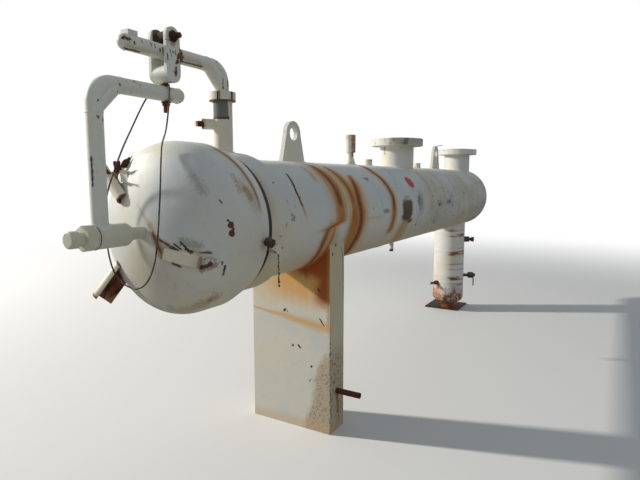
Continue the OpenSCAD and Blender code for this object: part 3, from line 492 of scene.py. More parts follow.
def head_paint():
    """The closure head's paint, with the streak above the near bracket."""
    c = Coat("closure_head_paint", chips=0.25, chip_size=48.0, grime=0.8)
    f = c.f
    turn = f.around(f.z - AXIS_H, 0.0 - f.y)
    smear = f.noise(7.0, 5.0, 0.6)
    # painted shade: a cool, darker tone over the near shoulder
    c.stain_and_shade(f.between(turn, 4.0, 34.0, 60.0, 125.0) * 0.42, (0.44, 0.50, 0.54))
    c.soot_and_shade(f.step(smear, 0.55, 0.80) * 0.26, (0.26, 0.24, 0.20))
    # the stain that starts beside the shaft and grows towards the near bracket
    for start, end, wide, how in (
            ((-1.1157, 0.028, 1.350), (-1.1227, -0.046, 1.275), 0.012, 0.40),
            ((-1.1227, -0.046, 1.275), (-1.1195, -0.078, 1.210), 0.019, 0.70),
            ((-1.1205, -0.070, 1.225), (-1.1126, -0.095, 1.160), 0.026, 0.90)):
        away, share = f.distance_to(start, end)
        c.stain_and_shade(f.step(away / wide + c.edge * 0.5 + c.ragged * 0.16 - share * 0.25, 1.0, 0.1) * how,
                (0.46, 0.30, 0.110) if how < 0.8 else (0.42, 0.20, 0.060))
    c.stain_and_shade(c.stroke((-1.1220, -0.060, 1.245), (-1.1126, -0.092, 1.165), 0.010, 0.5, 0.8) * 0.85,
            (0.15, 0.040, 0.014))
    c.rust(c.stroke((-1.1190, -0.074, 1.205), (-1.1130, -0.094, 1.170), 0.007, 0.6, 0.6) * 0.80,
           0.1)
    c.stain_and_shade(c.stroke((-1.1190, -0.084, 1.225), (-1.1040, -0.155, 1.187), 0.012, 0.5, 0.9) * 0.80,
            (0.36, 0.170, 0.060))
    c.soot_and_shade(c.stroke((-1.1170, -0.092, 1.217), (-1.1010, -0.165, 1.184), 0.0055, 0.7, 0.4) * 0.90,
           (0.110, 0.035, 0.014))
    # soot, dark flecks and torn paint round the near bracket
    c.soot_and_shade(c.stroke((-1.095, -0.190, 1.213), (-1.075, -0.250, 1.200), 0.032, 0.8, 0.9) * 0.55,
           (0.22, 0.19, 0.12))
    for start, end, half in (
            ((-1.1054, -0.1548, 1.2057), (-1.0968, -0.1821, 1.1872), 0.0042),
            ((-1.0979, -0.1843, 1.2106), (-1.0831, -0.2199, 1.1760), 0.0056),
            ((-1.0900, -0.2000, 1.1860), (-1.0800, -0.2260, 1.1780), 0.0060),
            ((-1.1100, -0.1350, 1.1900), (-1.1000, -0.1700, 1.1780), 0.0040),
            ((-1.0990, -0.1391, 1.1290), (-1.0905, -0.1690, 1.1170), 0.0060),
            ((-1.0637, -0.2453, 1.1142), (-1.0477, -0.2871, 1.1310), 0.0095),
            ((-1.0700, -0.2400, 1.1760), (-1.0500, -0.2900, 1.1760), 0.0064),
            ((-1.0101, -0.3237, 1.1209), (-1.0052, -0.3082, 1.0850), 0.0044),
            ((-1.0200, -0.3180, 1.1400), (-1.0180, -0.3160, 1.1290), 0.0048)):
        c.stain_and_shade(c.stroke(start, end, half * 1.9, 0.9, 0.8) * 0.55, (0.30, 0.150, 0.060))
        c.soot_and_shade(c.stroke(start, end, half, 0.75, 0.3) * 0.95, (0.040, 0.018, 0.012))
    c.rust(c.stroke((-1.060, -0.252, 1.106), (-1.036, -0.302, 1.128), 0.012, 1.2, 0.3) * 0.6)
    # the two bare patches on the side, and dirt near the joint
    for x, z, half_x, half_z in ((-1.0000, 1.2795, 0.0128, 0.0148),
                                 (-0.9985, 1.2480, 0.0122, 0.0150),
                                 (-0.9930, 1.2640, 0.0060, 0.0050),
                                 (-1.0090, 1.2970, 0.0046, 0.0050)):
        here = c.blot((f.x - x) / half_x, (f.z - z) / half_z, 0.34, 0.14, False)
        here = here * f.step(f.y, -0.20, -0.25)
        c.soot_and_shade(here, (0.100, 0.026, 0.014))
        c.rust(here * f.step(c.fine, 0.56, 0.64) * 0.6, 0.0)
    c.soot_and_shade(c.stroke((-1.021, -0.314, 1.374), (-1.016, -0.320, 1.362), 0.0042, 0.3, 0.3) * 0.85,
           (0.06, 0.07, 0.07))
    c.soot_and_shade(c.stroke((-1.0519, -0.2064, 1.464), (-1.0477, -0.2615, 1.4078), 0.028, 1.0, 0.98) * 0.42,
           (0.20, 0.18, 0.14))
    for shift, how in ((0.0, 0.60), (0.014, 0.40)):
        c.soot_and_shade(c.stroke((-0.9088 - shift, -0.286, 1.4723), (-0.9159 - shift, -0.3319, 1.398),
                        0.0075, 1.1, 0.9) * how, (0.17, 0.14, 0.09))
    c.stain_and_shade(c.stroke((-0.880, -0.325, 1.415), (-0.864, -0.342, 1.380), 0.030, 0.7, 0.95) * 0.92,
            (0.33, 0.17, 0.060))
    c.stain_and_shade(c.stroke((-0.900, -0.310, 1.440), (-0.850, -0.348, 1.340), 0.046, 0.7, 0.98) * 0.50,
            (0.44, 0.33, 0.17))
    c.stain_and_shade(c.stroke((-1.000, -0.185, 0.955), (-0.985, -0.250, 0.985), 0.040, 0.9, 0.95) * 0.85,
            (0.48, 0.25, 0.070))
    c.stain_and_shade(c.stroke((-1.011, -0.090, 0.915), (-1.005, -0.170, 0.945), 0.042, 0.9, 0.98) * 0.75,
            (0.50, 0.30, 0.100))
    c.rust(c.stroke((-0.995, -0.215, 0.968), (-0.985, -0.245, 0.985), 0.007, 1.3, 0.4) * 0.6, 0.0)
    for side in (1.0, -1.0):
        down = turn * side
        line = abs(f.x - f.route(down, ((20, -0.862), (46, -0.838), (60, -0.825), (80, -0.818)))
                   + c.edge * 0.004)
        for wide, how, tint in ((0.030, 0.55, (0.40, 0.30, 0.17)),
                                (0.0145, 0.95, (0.32, 0.125, 0.045))):
            mask = f.step(line, wide, wide * 0.30) * f.between(down, 16, 30, 66, 82)
            c.stain_and_shade(mask * (how if side > 0 else how * 0.6), tint)
    pale = c.stroke((-0.945, -0.090, 1.600), (-0.890, -0.190, 1.557), 0.009, 0.5, 0.8)
    c.stain_and_shade(pale * 0.45, (0.46, 0.45, 0.36))
    low = f.step(abs(turn), 110.0, 165.0)
    c.stain_and_shade(low * 0.50, (0.54, 0.47, 0.31))
    c.soot_and_shade(low * f.step(smear, 0.50, 0.62) * 0.25, (0.20, 0.18, 0.13))
    # painted shade: the sunk face of the joint and its lip are painted dark, as the gap's shade
    c.soot_and_shade(f.step(f.x, -0.7475, -0.7460) * 0.9, (0.035, 0.028, 0.022))
    lip_shade = f.step(f.x, -0.7535, -0.7505) * f.between(abs(turn), 24.0, 40.0, 108.0, 124.0)
    c.soot_and_shade(lip_shade, (0.012, 0.011, 0.010))
    return c.done()


def saddle_paint():
    """The saddle's paint: orange where rust water ran off the shell, deepened to dark orange as
    painted shade at the top and the near edge, gritty at the near foot.
    """
    c = Coat("saddle_paint", white=(0.72, 0.70, 0.61), chips=0.12, chip_size=40.0, grime=0.5)
    f = c.f
    front = f.step(f.x, -0.060, -0.078)
    side = f.step(f.y, -0.262, -0.2645)
    wave = f.noise(6.0, 4.0, 0.6)
    drips = f.noise(1.0, 4.0, 0.6, f.vector(f.x * 30.0, f.y * 30.0, f.z * 2.2))
    flow = (wave - 0.5) * 0.16 + (drips - 0.5) * 0.08
    top = f.step(f.z + flow, 0.67, 0.86) * f.step(f.y, 0.34, 0.02)
    c.stain_and_shade(top * (1 - side) * 0.92, (0.73, 0.40, 0.10))
    c.stain_and_shade(side * (f.step(f.z + flow, 0.30, 1.00) * 0.30 + 0.45), (0.54, 0.45, 0.24))
    # painted shade: the rust stain under the shell and along the near edge is painted darker where
    # the shell's shadow falls
    dark = f.step(f.z + flow * 0.6, 0.885, 0.945) * f.step(f.y + flow * 0.5, 0.03, -0.10)
    c.stain_and_shade(dark * (1 - side) * 0.97, (0.36, 0.060, 0.003))
    edge_run_and_shade = f.step(f.y + flow * 0.8, -0.130, -0.225) * f.step(f.z + flow * 0.5, 0.700, 0.790)
    c.stain_and_shade(edge_run_and_shade * (1 - side) * 0.96, (0.38, 0.090, 0.008))
    thin = f.step(f.y, -0.238, -0.256) * f.step(f.z, 0.58, 0.66)
    c.stain_and_shade(thin * (1 - side) * 0.60, (0.46, 0.24, 0.08))
    # a tide line that slopes down and grows wider towards the near side
    tide = abs(f.z - (f.y * 0.135 + 0.653) + (wave - 0.5) * 0.030)
    wide = f.step(f.y, 0.30, -0.22) * 0.034 + 0.014
    c.stain_and_shade(f.step(tide / wide, 1.0, 0.0) * front * 0.80, (0.70, 0.40, 0.12))
    # grit on the near foot
    foot = f.step(0.0 - f.y - f.z * 0.26 + flow * 0.7, 0.075, 0.125) * f.step(f.z, 0.56, 0.40)
    foot = foot.over(side * f.step(f.z + flow, 0.36, 0.20))
    grit = f.noise(62.0, 5.0, 0.7)
    c.stain_and_shade(foot * 0.80, (0.46, 0.37, 0.25))
    c.stain_and_shade(foot * f.step(grit, 0.50, 0.60) * 0.60, (0.20, 0.13, 0.070))
    c.rust(foot * f.step(grit, 0.64, 0.70) * f.step(f.z, 0.34, 0.20) * 0.7)
    c.rust(side * f.step(f.z, 0.60, 0.50) * front * f.step(grit, 0.54, 0.60) * 0.8)
    c.stain_and_shade(f.step(f.z + flow * 0.3, 0.085, 0.020) * 0.45, (0.66, 0.44, 0.22))
    leak = c.stroke((0.004, SADDLE_SIDE, 0.235), (0.020, SADDLE_SIDE, 0.100), 0.018, 0.8, 0.7)
    c.stain_and_shade(leak * 0.85, (0.26, 0.11, 0.04))
    edge_line = abs(f.x - f.route(f.z, ((0.70, 0.082), (0.86, 0.080), (1.02, 0.066),
                                        (1.08, 0.040))))
    c.soot_and_shade(f.step(edge_line + c.edge * 0.002, 0.0060, 0.0030) * side
           * f.between(f.z, 0.70, 0.84, 1.060, 1.075) * 0.75, (0.10, 0.085, 0.065))
    corner = side * f.step(f.x, -0.062, -0.074) * f.step(f.z, 0.64, 0.56)
    c.soot_and_shade(corner * f.step(grit, 0.50, 0.58) * 0.6, (0.12, 0.10, 0.07))
    # knocks in the paint
    bare = (0.035, 0.030, 0.022)
    for y, z, lean, half in ((0.034, 0.696, 0.006, 0.0075), (0.020, 0.690, -0.004, 0.0040),
                             (-0.190, 0.841, -0.012, 0.0050), (-0.020, 0.489, 0.002, 0.0065),
                             (-0.059, 0.495, -0.012, 0.0060), (-0.148, 0.386, 0.004, 0.0060),
                             (-0.143, 0.307, 0.012, 0.0030)):
        end = (SADDLE_FACE, y + lean, z - abs(lean) * 1.3)
        c.soot_and_shade(c.stroke((SADDLE_FACE, y, z), end, half, 0.9, 0.25) * front, bare)
    scratch = c.stroke((SADDLE_FACE, -0.200, 0.672), (SADDLE_FACE, -0.228, 0.636), 0.0040, 0.8, 0.3)
    c.soot_and_shade(scratch * front, bare)
    for x, z, half in ((-0.0165, 1.084, 0.010), (-0.053, 1.037, 0.007), (-0.032, 0.295, 0.008)):
        knock = c.stroke((x, SADDLE_SIDE, z), (x, SADDLE_SIDE, z + half), half, 0.9, 0.3)
        c.soot_and_shade(knock * side, (0.045, 0.040, 0.030))
    return c.done()


def boot_paint():
    """The boot's paint, scraped in bands down to red primer, with a rusty foot."""
    c = Coat("boot_paint", white=(0.78, 0.78, 0.75), chips=0.3, chip_size=30.0, grime=0.5)
    f = c.f
    turn = f.around(BOOT_X - f.x, 0.0 - f.y)
    side_left = f.step(turn, 10.0, -40.0)
    bands = f.noise(1.0, 5.0, 0.62, f.vector(turn * 0.018, 2.0, f.z * 60.0))
    for z, half, how in ((0.893, 0.012, 0.9), (0.842, 0.018, 1.0), (0.700, 0.008, 0.5),
                         (0.645, 0.030, 1.0), (0.525, 0.010, 0.5), (0.470, 0.012, 0.5),
                         (0.370, 0.030, 1.0), (0.300, 0.016, 0.8)):
        band = f.step(abs(f.z - z + c.edge * 0.008) / half, 1.2, 0.5) * f.step(bands, 0.44, 0.52)
        side = f.between(turn, 4.0, 26.0, 108.0, 128.0) * 0.90 + 0.10
        c.stain_and_shade(band * side * how, (0.26, 0.085, 0.040))
        c.rust(band * side * f.step(bands, 0.60, 0.66) * how * 0.8)
    level = f.z + (f.noise(7.0, 5.0, 0.65) - 0.5) * 0.34
    low = f.step(level, 0.33, 0.17)
    patches = f.noise(26.0, 5.0, 0.7)
    c.stain_and_shade(low * (f.step(patches, 0.40, 0.60) * 0.45 + 0.50), (0.36, 0.110, 0.030))
    c.soot_and_shade(low * f.step(f.noise(17.0, 5.0, 0.7), 0.46, 0.58) * 0.90, (0.070, 0.024, 0.012))
    c.stain_and_shade(f.step(level, 0.52, 0.34) * side_left * 0.30, (0.60, 0.34, 0.14))
    c.stain_and_shade(f.step(f.z, 0.91, 0.95) * 0.40, (0.62, 0.54, 0.38))
    return c.done()


def pipe_paint():
    """The davit's paint, knocked off in small chips."""
    c = Coat("davit_paint", white=(0.72, 0.73, 0.66), chips=0.9, chip_size=46.0, grime=0.8)
    f = c.f
    black = (0.040, 0.028, 0.022)
    on_arm = f.step(f.z, 1.90, 1.91)
    # short dark dashes on the arm's near side, and a brown smudge at its end
    for x, z, tall, half in ((-1.1474, 1.954, 0.006, 0.0060), (-1.1117, 1.966, 0.012, 0.0034),
                             (-1.0684, 1.965, 0.013, 0.0034), (-1.0495, 1.963, 0.014, 0.0036),
                             (-1.0244, 1.953, 0.010, 0.0050), (-1.0100, 1.955, 0.016, 0.0040),
                             (-1.0900, 1.972, 0.006, 0.0028), (-0.9990, 1.950, 0.018, 0.0044),
                             (-0.6965, 1.974, 0.010, 0.0040)):
        c.dash(x, -0.028, z, tall, half, black, on_arm * 0.95, 0.002, 0.7)
    c.rust(c.stroke((-1.190, -0.022, 1.966), (-1.165, -0.028, 1.962), 0.009, 1.2, 0.4))
    c.rust(c.stroke((-1.110, -0.012, 1.9855), (-1.010, -0.012, 1.9855), 0.0050, 1.3, 0.3))
    under = c.stroke((-1.200, -0.012, 1.9300), (-1.110, -0.012, 1.9300), 0.0065, 1.1, 0.4)
    c.rust(under)
    c.stain_and_shade(c.stroke((-1.170, -0.022, 1.938), (-1.000, -0.022, 1.938), 0.012, 1.2, 0.8) * 0.50,
            (0.50, 0.37, 0.19))
    # rust where the trolley has rubbed, and a dark line under the arm
    c.rust(c.stroke((-0.915, -0.018, 1.980), (-0.908, -0.026, 1.945), 0.013, 0.9, 0.3) * on_arm)
    c.soot_and_shade(c.stroke((-0.915, -0.020, 1.984), (-0.925, -0.024, 1.972), 0.012, 0.8, 0.3) * on_arm,
           black)
    c.rust(c.stroke((-0.915, -0.020, 1.9330), (-0.780, -0.020, 1.9345), 0.0055, 1.2, 0.4) * 0.9)
    c.stain_and_shade(c.stroke((-0.900, -0.026, 1.950), (-0.800, -0.026, 1.946), 0.016, 0.9, 0.9) * 0.45,
            (0.50, 0.37, 0.19))
    # chips at the arm's bend
    for x, y, z, tall, half in ((-0.657, -0.028, 1.892, 0.020, 0.0045),
                                (-0.653, -0.026, 1.866, 0.008, 0.0050),
                                (-0.627, -0.028, 1.886, 0.022, 0.0048),
                                (-0.690, -0.018, 1.878, 0.004, 0.0050),
                                (-0.632, -0.029, 1.862, 0.006, 0.0040)):
        c.dash(x, y, z, tall, half, (0.10, 0.04, 0.025), 0.9)
    # the hanger's chips
    for x, z, tall, half in ((-1.2205, 1.790, 0.006, 0.0060), (-1.3139, 1.724, 0.002, 0.0055),
                             (-1.3172, 1.668, 0.003, 0.0055), (-1.2943, 1.661, 0.006, 0.0055),
                             (-1.2690, 1.787, 0.003, 0.0035), (-1.2537, 1.765, 0.002, 0.0040),
                             (-1.2400, 1.792, 0.002, 0.0030), (-1.2300, 1.766, 0.003, 0.0035),
                             (-1.2850, 1.640, 0.020, 0.0030)):
        c.dash(x, -0.027, z, tall, half, (0.070, 0.035, 0.022), 0.9)
    c.soot_and_shade(c.stroke((-1.337, -0.010, 1.530), (-1.337, -0.010, 1.430), 0.0050, 1.0, 0.4) * 0.9,
           black)
    c.stain_and_shade(f.near((-0.975, -0.015, 1.770), 0.026, c.edge * 0.6, 0.8) * 0.75)
    c.stain_and_shade(f.near((-0.975, -0.010, 1.823), 0.030, c.edge * 0.6, 0.8) * 0.60)
    # the collar's two slits and its rusty lower edge
    collar = f.between(f.z, POST_TOP - 0.0005, POST_TOP + 0.0005, 1.849, 1.852)
    collar = collar * f.step(abs(f.x - POST_X), 0.080, 0.070)
    toward = f.around(POST_X - f.x, 0.0 - f.y)
    for angle in (21.0, 83.0):
        c.soot_and_shade(collar * f.step(abs(toward - angle + c.edge * 2.0), 4.6, 2.6), black)
        c.rust(collar * f.step(abs(toward - angle - 7.0 + c.edge * 3.0), 5.0, 2.0) * 0.75)
    c.rust(collar * f.step(f.z + c.ragged * 0.0015, POST_TOP + 0.0045, POST_TOP + 0.0025) * 0.9)
    # a dark grey-green patch below the arm's collar, with rust round its lower edge
    post = f.step(f.z, POST_TOP + 0.002, POST_TOP - 0.001) * f.step(abs(f.x - POST_X), 0.060, 0.055)
    turned = toward - 38.0 + c.edge * 6.0 + c.ragged * 2.5
    side = f.between(turned, -74.0, -66.0, 33.0, 40.0) * post
    level = f.z + c.ragged * 0.004
    c.rust(f.between(turned, -78.0, -70.0, 40.0, 48.0) * post
           * f.between(level, 1.7225, 1.7265, 1.7360, 1.7400))
    c.soot_and_shade(side * f.step(level, 1.7310, 1.7350) * 0.94, (0.135, 0.150, 0.140))
    c.soot_and_shade(c.stroke((-0.600, -0.038, 1.712), (-0.592, -0.038, 1.712), 0.0055, 0.9, 0.3) * 0.9,
           black)
    return c.done()


def trolley_paint():
    """The trolley's plates and cross tube: white paint with dark chips and a rusty rear edge."""
    c = Coat("trolley_paint", white=(0.74, 0.75, 0.68), chips=0.9, chip_size=38.0, grime=0.8)
    f = c.f
    black = (0.035, 0.025, 0.020)
    for x, z, tall, half in ((-0.9902, 1.955, 0.010, 0.0034), (-0.9772, 1.953, 0.006, 0.0034),
                             (-0.9640, 1.953, 0.014, 0.0034), (-1.0060, 1.930, 0.020, 0.0036),
                             (-0.9850, 1.938, 0.004, 0.0030)):
        c.dash(x, CHEEK_FACE, z, tall, half, black, 1.0, 0.002, 0.8)
    for start, end, half, uneven, edge in (
            ((-0.948, CHEEK_FACE, 1.948), (-0.953, CHEEK_FACE, 1.918), 0.0075, 1.1, 0.3),
            ((-0.956, CHEEK_FACE, 1.925), (-0.961, CHEEK_FACE, 1.912), 0.0050, 0.9, 0.3),
            ((-0.964, CHEEK_FACE, 1.894), (-0.966, CHEEK_FACE, 1.868), 0.0080, 1.3, 0.4)):
        c.rust(c.stroke(start, end, half, uneven, edge))
    rear = f.step(f.x, -0.9445, -0.9400) * f.step(f.z + c.edge * 0.02, 1.985, 1.975)
    c.rust(rear * f.step(f.z + c.edge * 0.02, 1.875, 1.890) * f.step(c.fine, 0.38, 0.46))
    c.stain_and_shade(f.near((BOLT_X, -0.052, ROLLER_Z - 0.026), 0.020, c.edge * 0.6, 0.8) * 0.8,
            (0.26, 0.11, 0.05))
    c.rust(f.near((BOLT_X + 0.004, -0.052, ROLLER_Z), 0.025, c.edge * 0.4, 0.3) * 0.8)
    inner = f.step(abs(f.y), 0.048, 0.044)
    c.rust(inner * f.step(abs(f.x - BOLT_X) + c.edge * 0.010, 0.030, 0.020)
           * f.step(f.z + c.edge * 0.02, 1.985, 2.000) * 0.9)
    c.stain_and_shade(f.step(f.z + c.edge * 0.010, 1.842, 1.832) * 0.75)
    return c.done()


def fitting_paint(name, chips, white=WHITE):
    """Paint on small fittings."""
    return Coat(name, white=white, chips=chips, chip_size=44.0, grime=0.7).done()


def flange_paint():
    """The nozzles' paint: clean necks, weathered rims; the first rim's side to the camera's right
    is greyed as painted shade.
    """
    c = Coat("nozzle_paint", white=(0.73, 0.72, 0.67), warm=(0.74, 0.69, 0.57), chips=0.15,
             grime=0.4)
    f = c.f
    rim = f.step(f.z, 1.715, 1.722)
    dirt = f.noise(1.0, 5.0, 0.68, f.vector(f.x * 22.0, f.y * 22.0, f.z * 14.0))
    # painted shade: the first rim's side to the camera's right is stained grey as shade, with real
    # dirt and rust chips on it
    right = (f.x - NOZZLES[0]) * RIGHT_X - f.y * RIGHT_Y
    worn = rim * f.step(right, -0.11, -0.03) * f.step(f.x, 2.2, 2.0)
    c.stain_and_shade(worn * 0.75, (0.44, 0.40, 0.31))
    c.soot_and_shade(worn * f.step(dirt, 0.50, 0.56) * 0.75, (0.12, 0.085, 0.060))
    c.rust(worn * f.step(dirt, 0.62, 0.66) * 0.8)
    c.soot_and_shade(rim * f.step(dirt, 0.55, 0.64) * 0.40, (0.26, 0.24, 0.20))
    c.stain_and_shade(c.stroke((1.395, 0.055, 1.700), (1.393, 0.055, 1.655), 0.016, 0.9, 0.7) * 0.85,
            (0.42, 0.30, 0.12))
    c.stain_and_shade(f.step(f.z, 1.560, 1.530) * 0.25, (0.60, 0.48, 0.28))
    face = f.step(f.z, 1.7735, 1.7745)
    rings = f.node("ShaderNodeMath", {"operation": "SINE"}, {0: f.noise(18.0) * 3.0})
    c.rust(face * (0.75 + rings * 0.1), 0.0)
    return c.done()


def vent_paint():
    """The vent's and the couplings' paint, rusted through on one side and at the rims, with the
    couplings' bores painted dark as shade.
    """
    c = Coat("vent_paint", white=(0.76, 0.74, 0.67), chips=0.3, chip_size=44.0, grime=0.6)
    f = c.f
    worn = f.noise(52.0, 5.0, 0.7)
    uneven = worn - 0.5
    for x, low, high in ((VENT_X, 1.600, 1.700), (COUPLINGS[0], 1.575, 1.600)):
        here = f.step(abs(f.x - x), 0.12, 0.11) * f.step(f.z + uneven * 0.03, low, low + 0.008)
        right = (f.x - x) * RIGHT_X - f.y * RIGHT_Y
        side = f.step(right + uneven * 0.020, 0.002, 0.009) * here
        c.stain_and_shade(side * 0.80, (0.42, 0.22, 0.10))
        c.soot_and_shade(side * f.step(worn, 0.50, 0.56) * 0.85, (0.16, 0.060, 0.030))
        top = f.step(f.z + uneven * 0.020, high, high + 0.008) * f.step(worn, 0.44, 0.56)
        c.stain_and_shade(here * top * 0.55, (0.50, 0.28, 0.13))
    off_axis = abs(f.x - COUPLINGS[0]).under(abs(f.x - COUPLINGS[1]))
    # painted shade: the couplings' bores are painted near-black as the shade in the holes
    bore_shade = f.step(f.z, 1.570, 1.575) * f.step(off_axis, 0.0185, 0.0175)
    c.soot_and_shade(bore_shade * f.step(abs(f.y), 0.0185, 0.0175), (0.030, 0.020, 0.015))
    foot = f.step(abs(f.z - 1.556), 0.012, 0.002)
    c.rust(foot * f.step(worn, 0.50, 0.60) * 0.6)
    return c.done()


def lock_paint():
    """The lock bolt: a painted boss, a dark rusty shank and a pale worn end."""
    c = Coat("lock_paint", white=(0.72, 0.69, 0.58), chips=0.3, grime=0.6)
    f = c.f
    out = f.along(LOCK_FROM, LOCK_WAY)
    c.stain_and_shade(f.step(out + c.edge * 0.006, 0.080, 0.096) * 0.6, (0.50, 0.33, 0.17))
    c.rust(f.between(out, 0.0955, 0.0962, 0.1232, 0.1240))
    c.stain_and_shade(f.step(out, 0.1240, 0.1250) * 0.35, (0.60, 0.42, 0.22))
    return c.done()


def warn_paint():
    """The warning bolt's dark red head and the pale, dirty block that carries it."""
    c = Coat("warning_bolt_paint", white=(0.60, 0.57, 0.48), chips=0.6, grime=0.9)
    f = c.f
    red = f.mix(f.step(f.noise(60.0, 5.0, 0.7), 0.35, 0.65), (0.014, 0.007, 0.006),
                (0.046, 0.016, 0.012))
    head = f.step(f.x, -0.7840, -0.7870)
    c.soot_and_shade(f.step(f.noise(45.0, 4.0, 0.7), 0.52, 0.62) * 0.85, (0.060, 0.045, 0.035))
    c.colour = f.mix(head, c.colour, red)
    return c.done()


def across_line(start, end):
    """Directions along a bracket's centre line, level across it, and square to both."""
    line = (end - start).normalized()
    level = Vector((-line.y, line.x, 0.0)).normalized()
    return line, level, level.cross(line).normalized()


def bracket_paint():
    """The cut-off brackets: cream paint outside, rust inside and at the torn edges."""
    c = Coat("bracket_paint", white=(0.82, 0.75, 0.58), chips=0.9, chip_size=40.0, grime=0.8)
    f = c.f
    for number, (start, end) in enumerate(BRACKET_LINES):
        _, level, slope = across_line(start, end)
        away, share = f.distance_to(start, end)
        here = f.step(away, 0.140, 0.120)
        for other, (first, last) in enumerate(BRACKET_LINES):
            if other != number:
                here = here * f.step(f.distance_to(first, last)[0] - away, -0.001, 0.001)
        on_level, on_slope = f.along(start, level), f.along(start, slope)
        if number == 0:
            inside = f.step(on_level, -0.002, -0.006) * f.step(on_slope, 0.0250, 0.0225)
            inside = f.step(away, 0.0265, 0.0235).over(inside)
        elif number == 1:
            inside = f.step(on_slope, 0.002, 0.006) * f.step(on_level, -0.0250, -0.0225)
            inside = f.step(away, 0.0265, 0.0235).over(inside)
        else:
            inside = f.step(on_level, -0.0120, -0.0095) * f.step(on_slope, -0.0230, -0.0205)
        c.rust(inside * here)
        torn = f.step(share + c.edge * 0.10, 0.90, 0.97)
        torn = torn.over(f.step(share + c.edge * 0.06, 0.055, 0.015))
        c.rust(torn * here * (0.9 if number < 2 else 0.75))
        c.stain_and_shade(f.step(share + c.edge * 0.2, 0.65, 0.95) * here * 0.35, (0.62, 0.36, 0.16))
    return c.done()


def rusty_steel(name, light, scale=48.0):
    """Bare steel with a thick coat of rust."""
    f = Finish(name)
    lumps = f.noise(scale, 7.0, 0.72)
    grain = f.noise(scale * 5.0, 4.0, 0.6)
    tone = f.ramp(lumps + light, RUST_STOPS)
    dust = f.step(grain, 0.52, 0.72) * 0.35
    colour = f.mix(dust, tone, (0.34, 0.15, 0.065))
    return f.close(colour, 0.78 + grain * 0.18, lumps + grain * 0.4, 0.0016, 0.25)


def dirty_steel(name, colour, worn):
    """Dark oiled or galvanised steel, worn in patches."""
    f = Finish(name)
    blot = f.noise(40.0, 5.0, 0.65)
    grain = f.noise(220.0, 3.0, 0.6)
    tone = f.mix(f.step(blot, 0.40, 0.66), colour, worn)
    return f.close(tone, 0.42 + blot * 0.35, blot * 0.5 + grain * 0.3, 0.0006, 0.6)


def rope_steel():
    """The sling's wire strands, dark with dirt and grease, paler in patches and flecked with brown
    grit.
    """
    f = Finish("sling_wire")
    blot = f.noise(16.0, 4.0, 0.6)
    grit = f.noise(300.0, 3.0, 0.6)
    tone = f.mix(f.step(blot, 0.42, 0.64), (0.030, 0.032, 0.034), (0.120, 0.118, 0.110))
    tone = f.mix(f.step(grit, 0.60, 0.75) * 0.5, tone, (0.20, 0.12, 0.07))
    return f.close(tone, 0.45 + grit * 0.3, grit, 0.0003, 0.55)


paint_shell = shell_paint()
paint_head = head_paint()
paint_saddle = saddle_paint()
paint_boot = boot_paint()
paint_pipe = pipe_paint()
paint_trolley = trolley_paint()
paint_nozzle = flange_paint()
paint_fitting = fitting_paint("fitting_paint", 0.8)
paint_hub = fitting_paint("shaft_paint", 1.0, (0.62, 0.60, 0.47))
paint_vent = vent_paint()
paint_lock = lock_paint()
paint_warn = warn_paint()
paint_bracket = bracket_paint()
paint_tear = fitting_paint("torn_paint", 3.2, (0.76, 0.73, 0.64))
paint_plate = fitting_paint("bracket_plate_paint", 0.8, (0.80, 0.78, 0.70))
rust_bolt = rusty_steel("rusted_bolts", -0.13)
rust_plate = rusty_steel("rusted_plate", 0.06, 22.0)
rust_dark = rusty_steel("dark_rusted_plate", -0.30, 22.0)
rust_nut = rusty_steel("rusted_nut", 0.02, 60.0)
rust_torn = rusty_steel("torn_steel", -0.08, 60.0)
steel_dark = dirty_steel("dark_fittings", (0.040, 0.036, 0.034), (0.110, 0.075, 0.055))
steel_pale = dirty_steel("pale_steel", (0.42, 0.41, 0.39), (0.62, 0.60, 0.56))
steel_chain = dirty_steel("chain_steel", (0.035, 0.033, 0.032), (0.150, 0.140, 0.120))
# painted shade for the gap at the sleeve's front
gap_shade = dirty_steel("sleeve_gap_shade", (0.012, 0.012, 0.011), (0.030, 0.024, 0.018))
rope_wire = rope_steel()

NODE_FINISH = {
    paint_shell: ("shell_front", "shell_middle", "shell_rear", "closure_ring", "rear_head"),
    paint_nozzle: ("nozzle_1_neck", "nozzle_1_flange", "nozzle_2_neck", "nozzle_2_flange"),
    paint_saddle: ("saddle_base", "saddle_front_web", "saddle_rear_web", "saddle_side_near",
                   "saddle_side_far"),
    paint_boot: ("boot_pipe", "boot_cap"),
    paint_pipe: ("davit_post", "davit_arm", "arm_stop", "hanger_arm", "arm_collar"),
    paint_trolley: ("trolley_cheek_near", "trolley_cheek_far", "cross_tube"),
    paint_head: ("closure_head",),
    paint_hub: ("hanger_sleeve", "head_shaft", "shaft_nut", "shaft_knob"),
    paint_fitting: ("lifting_lug_front", "lifting_lug_rear", "bottom_drain"),
    paint_vent: ("vent_fitting", "half_couplings"),
    paint_lock: ("lock_bolt",),
    paint_warn: ("joint_lug",),
    rust_plate: ("boot_stub", "boot_nipple"),
    rust_dark: ("boot_base_plate", "trolley_roller", "roller_bolt"),
    rust_bolt: ("saddle_drain",),
    rust_nut: ("swivel_bolt",),
    steel_dark: ("boot_plug", "boot_valve"),
    paint_bracket: ("head_bracket_near", "head_bracket_upper", "head_bracket_lower"),
    rope_wire: ("wire_sling",),
}
for finish, names in NODE_FINISH.items():
    for name in names:
        node_mesh = nodes[name].data
        node_mesh.materials.clear()
        node_mesh.materials.append(finish)


# ---------------------------------------------------------------- ways to make a piece
MERGE = 1e-6          # vertices closer than this are one


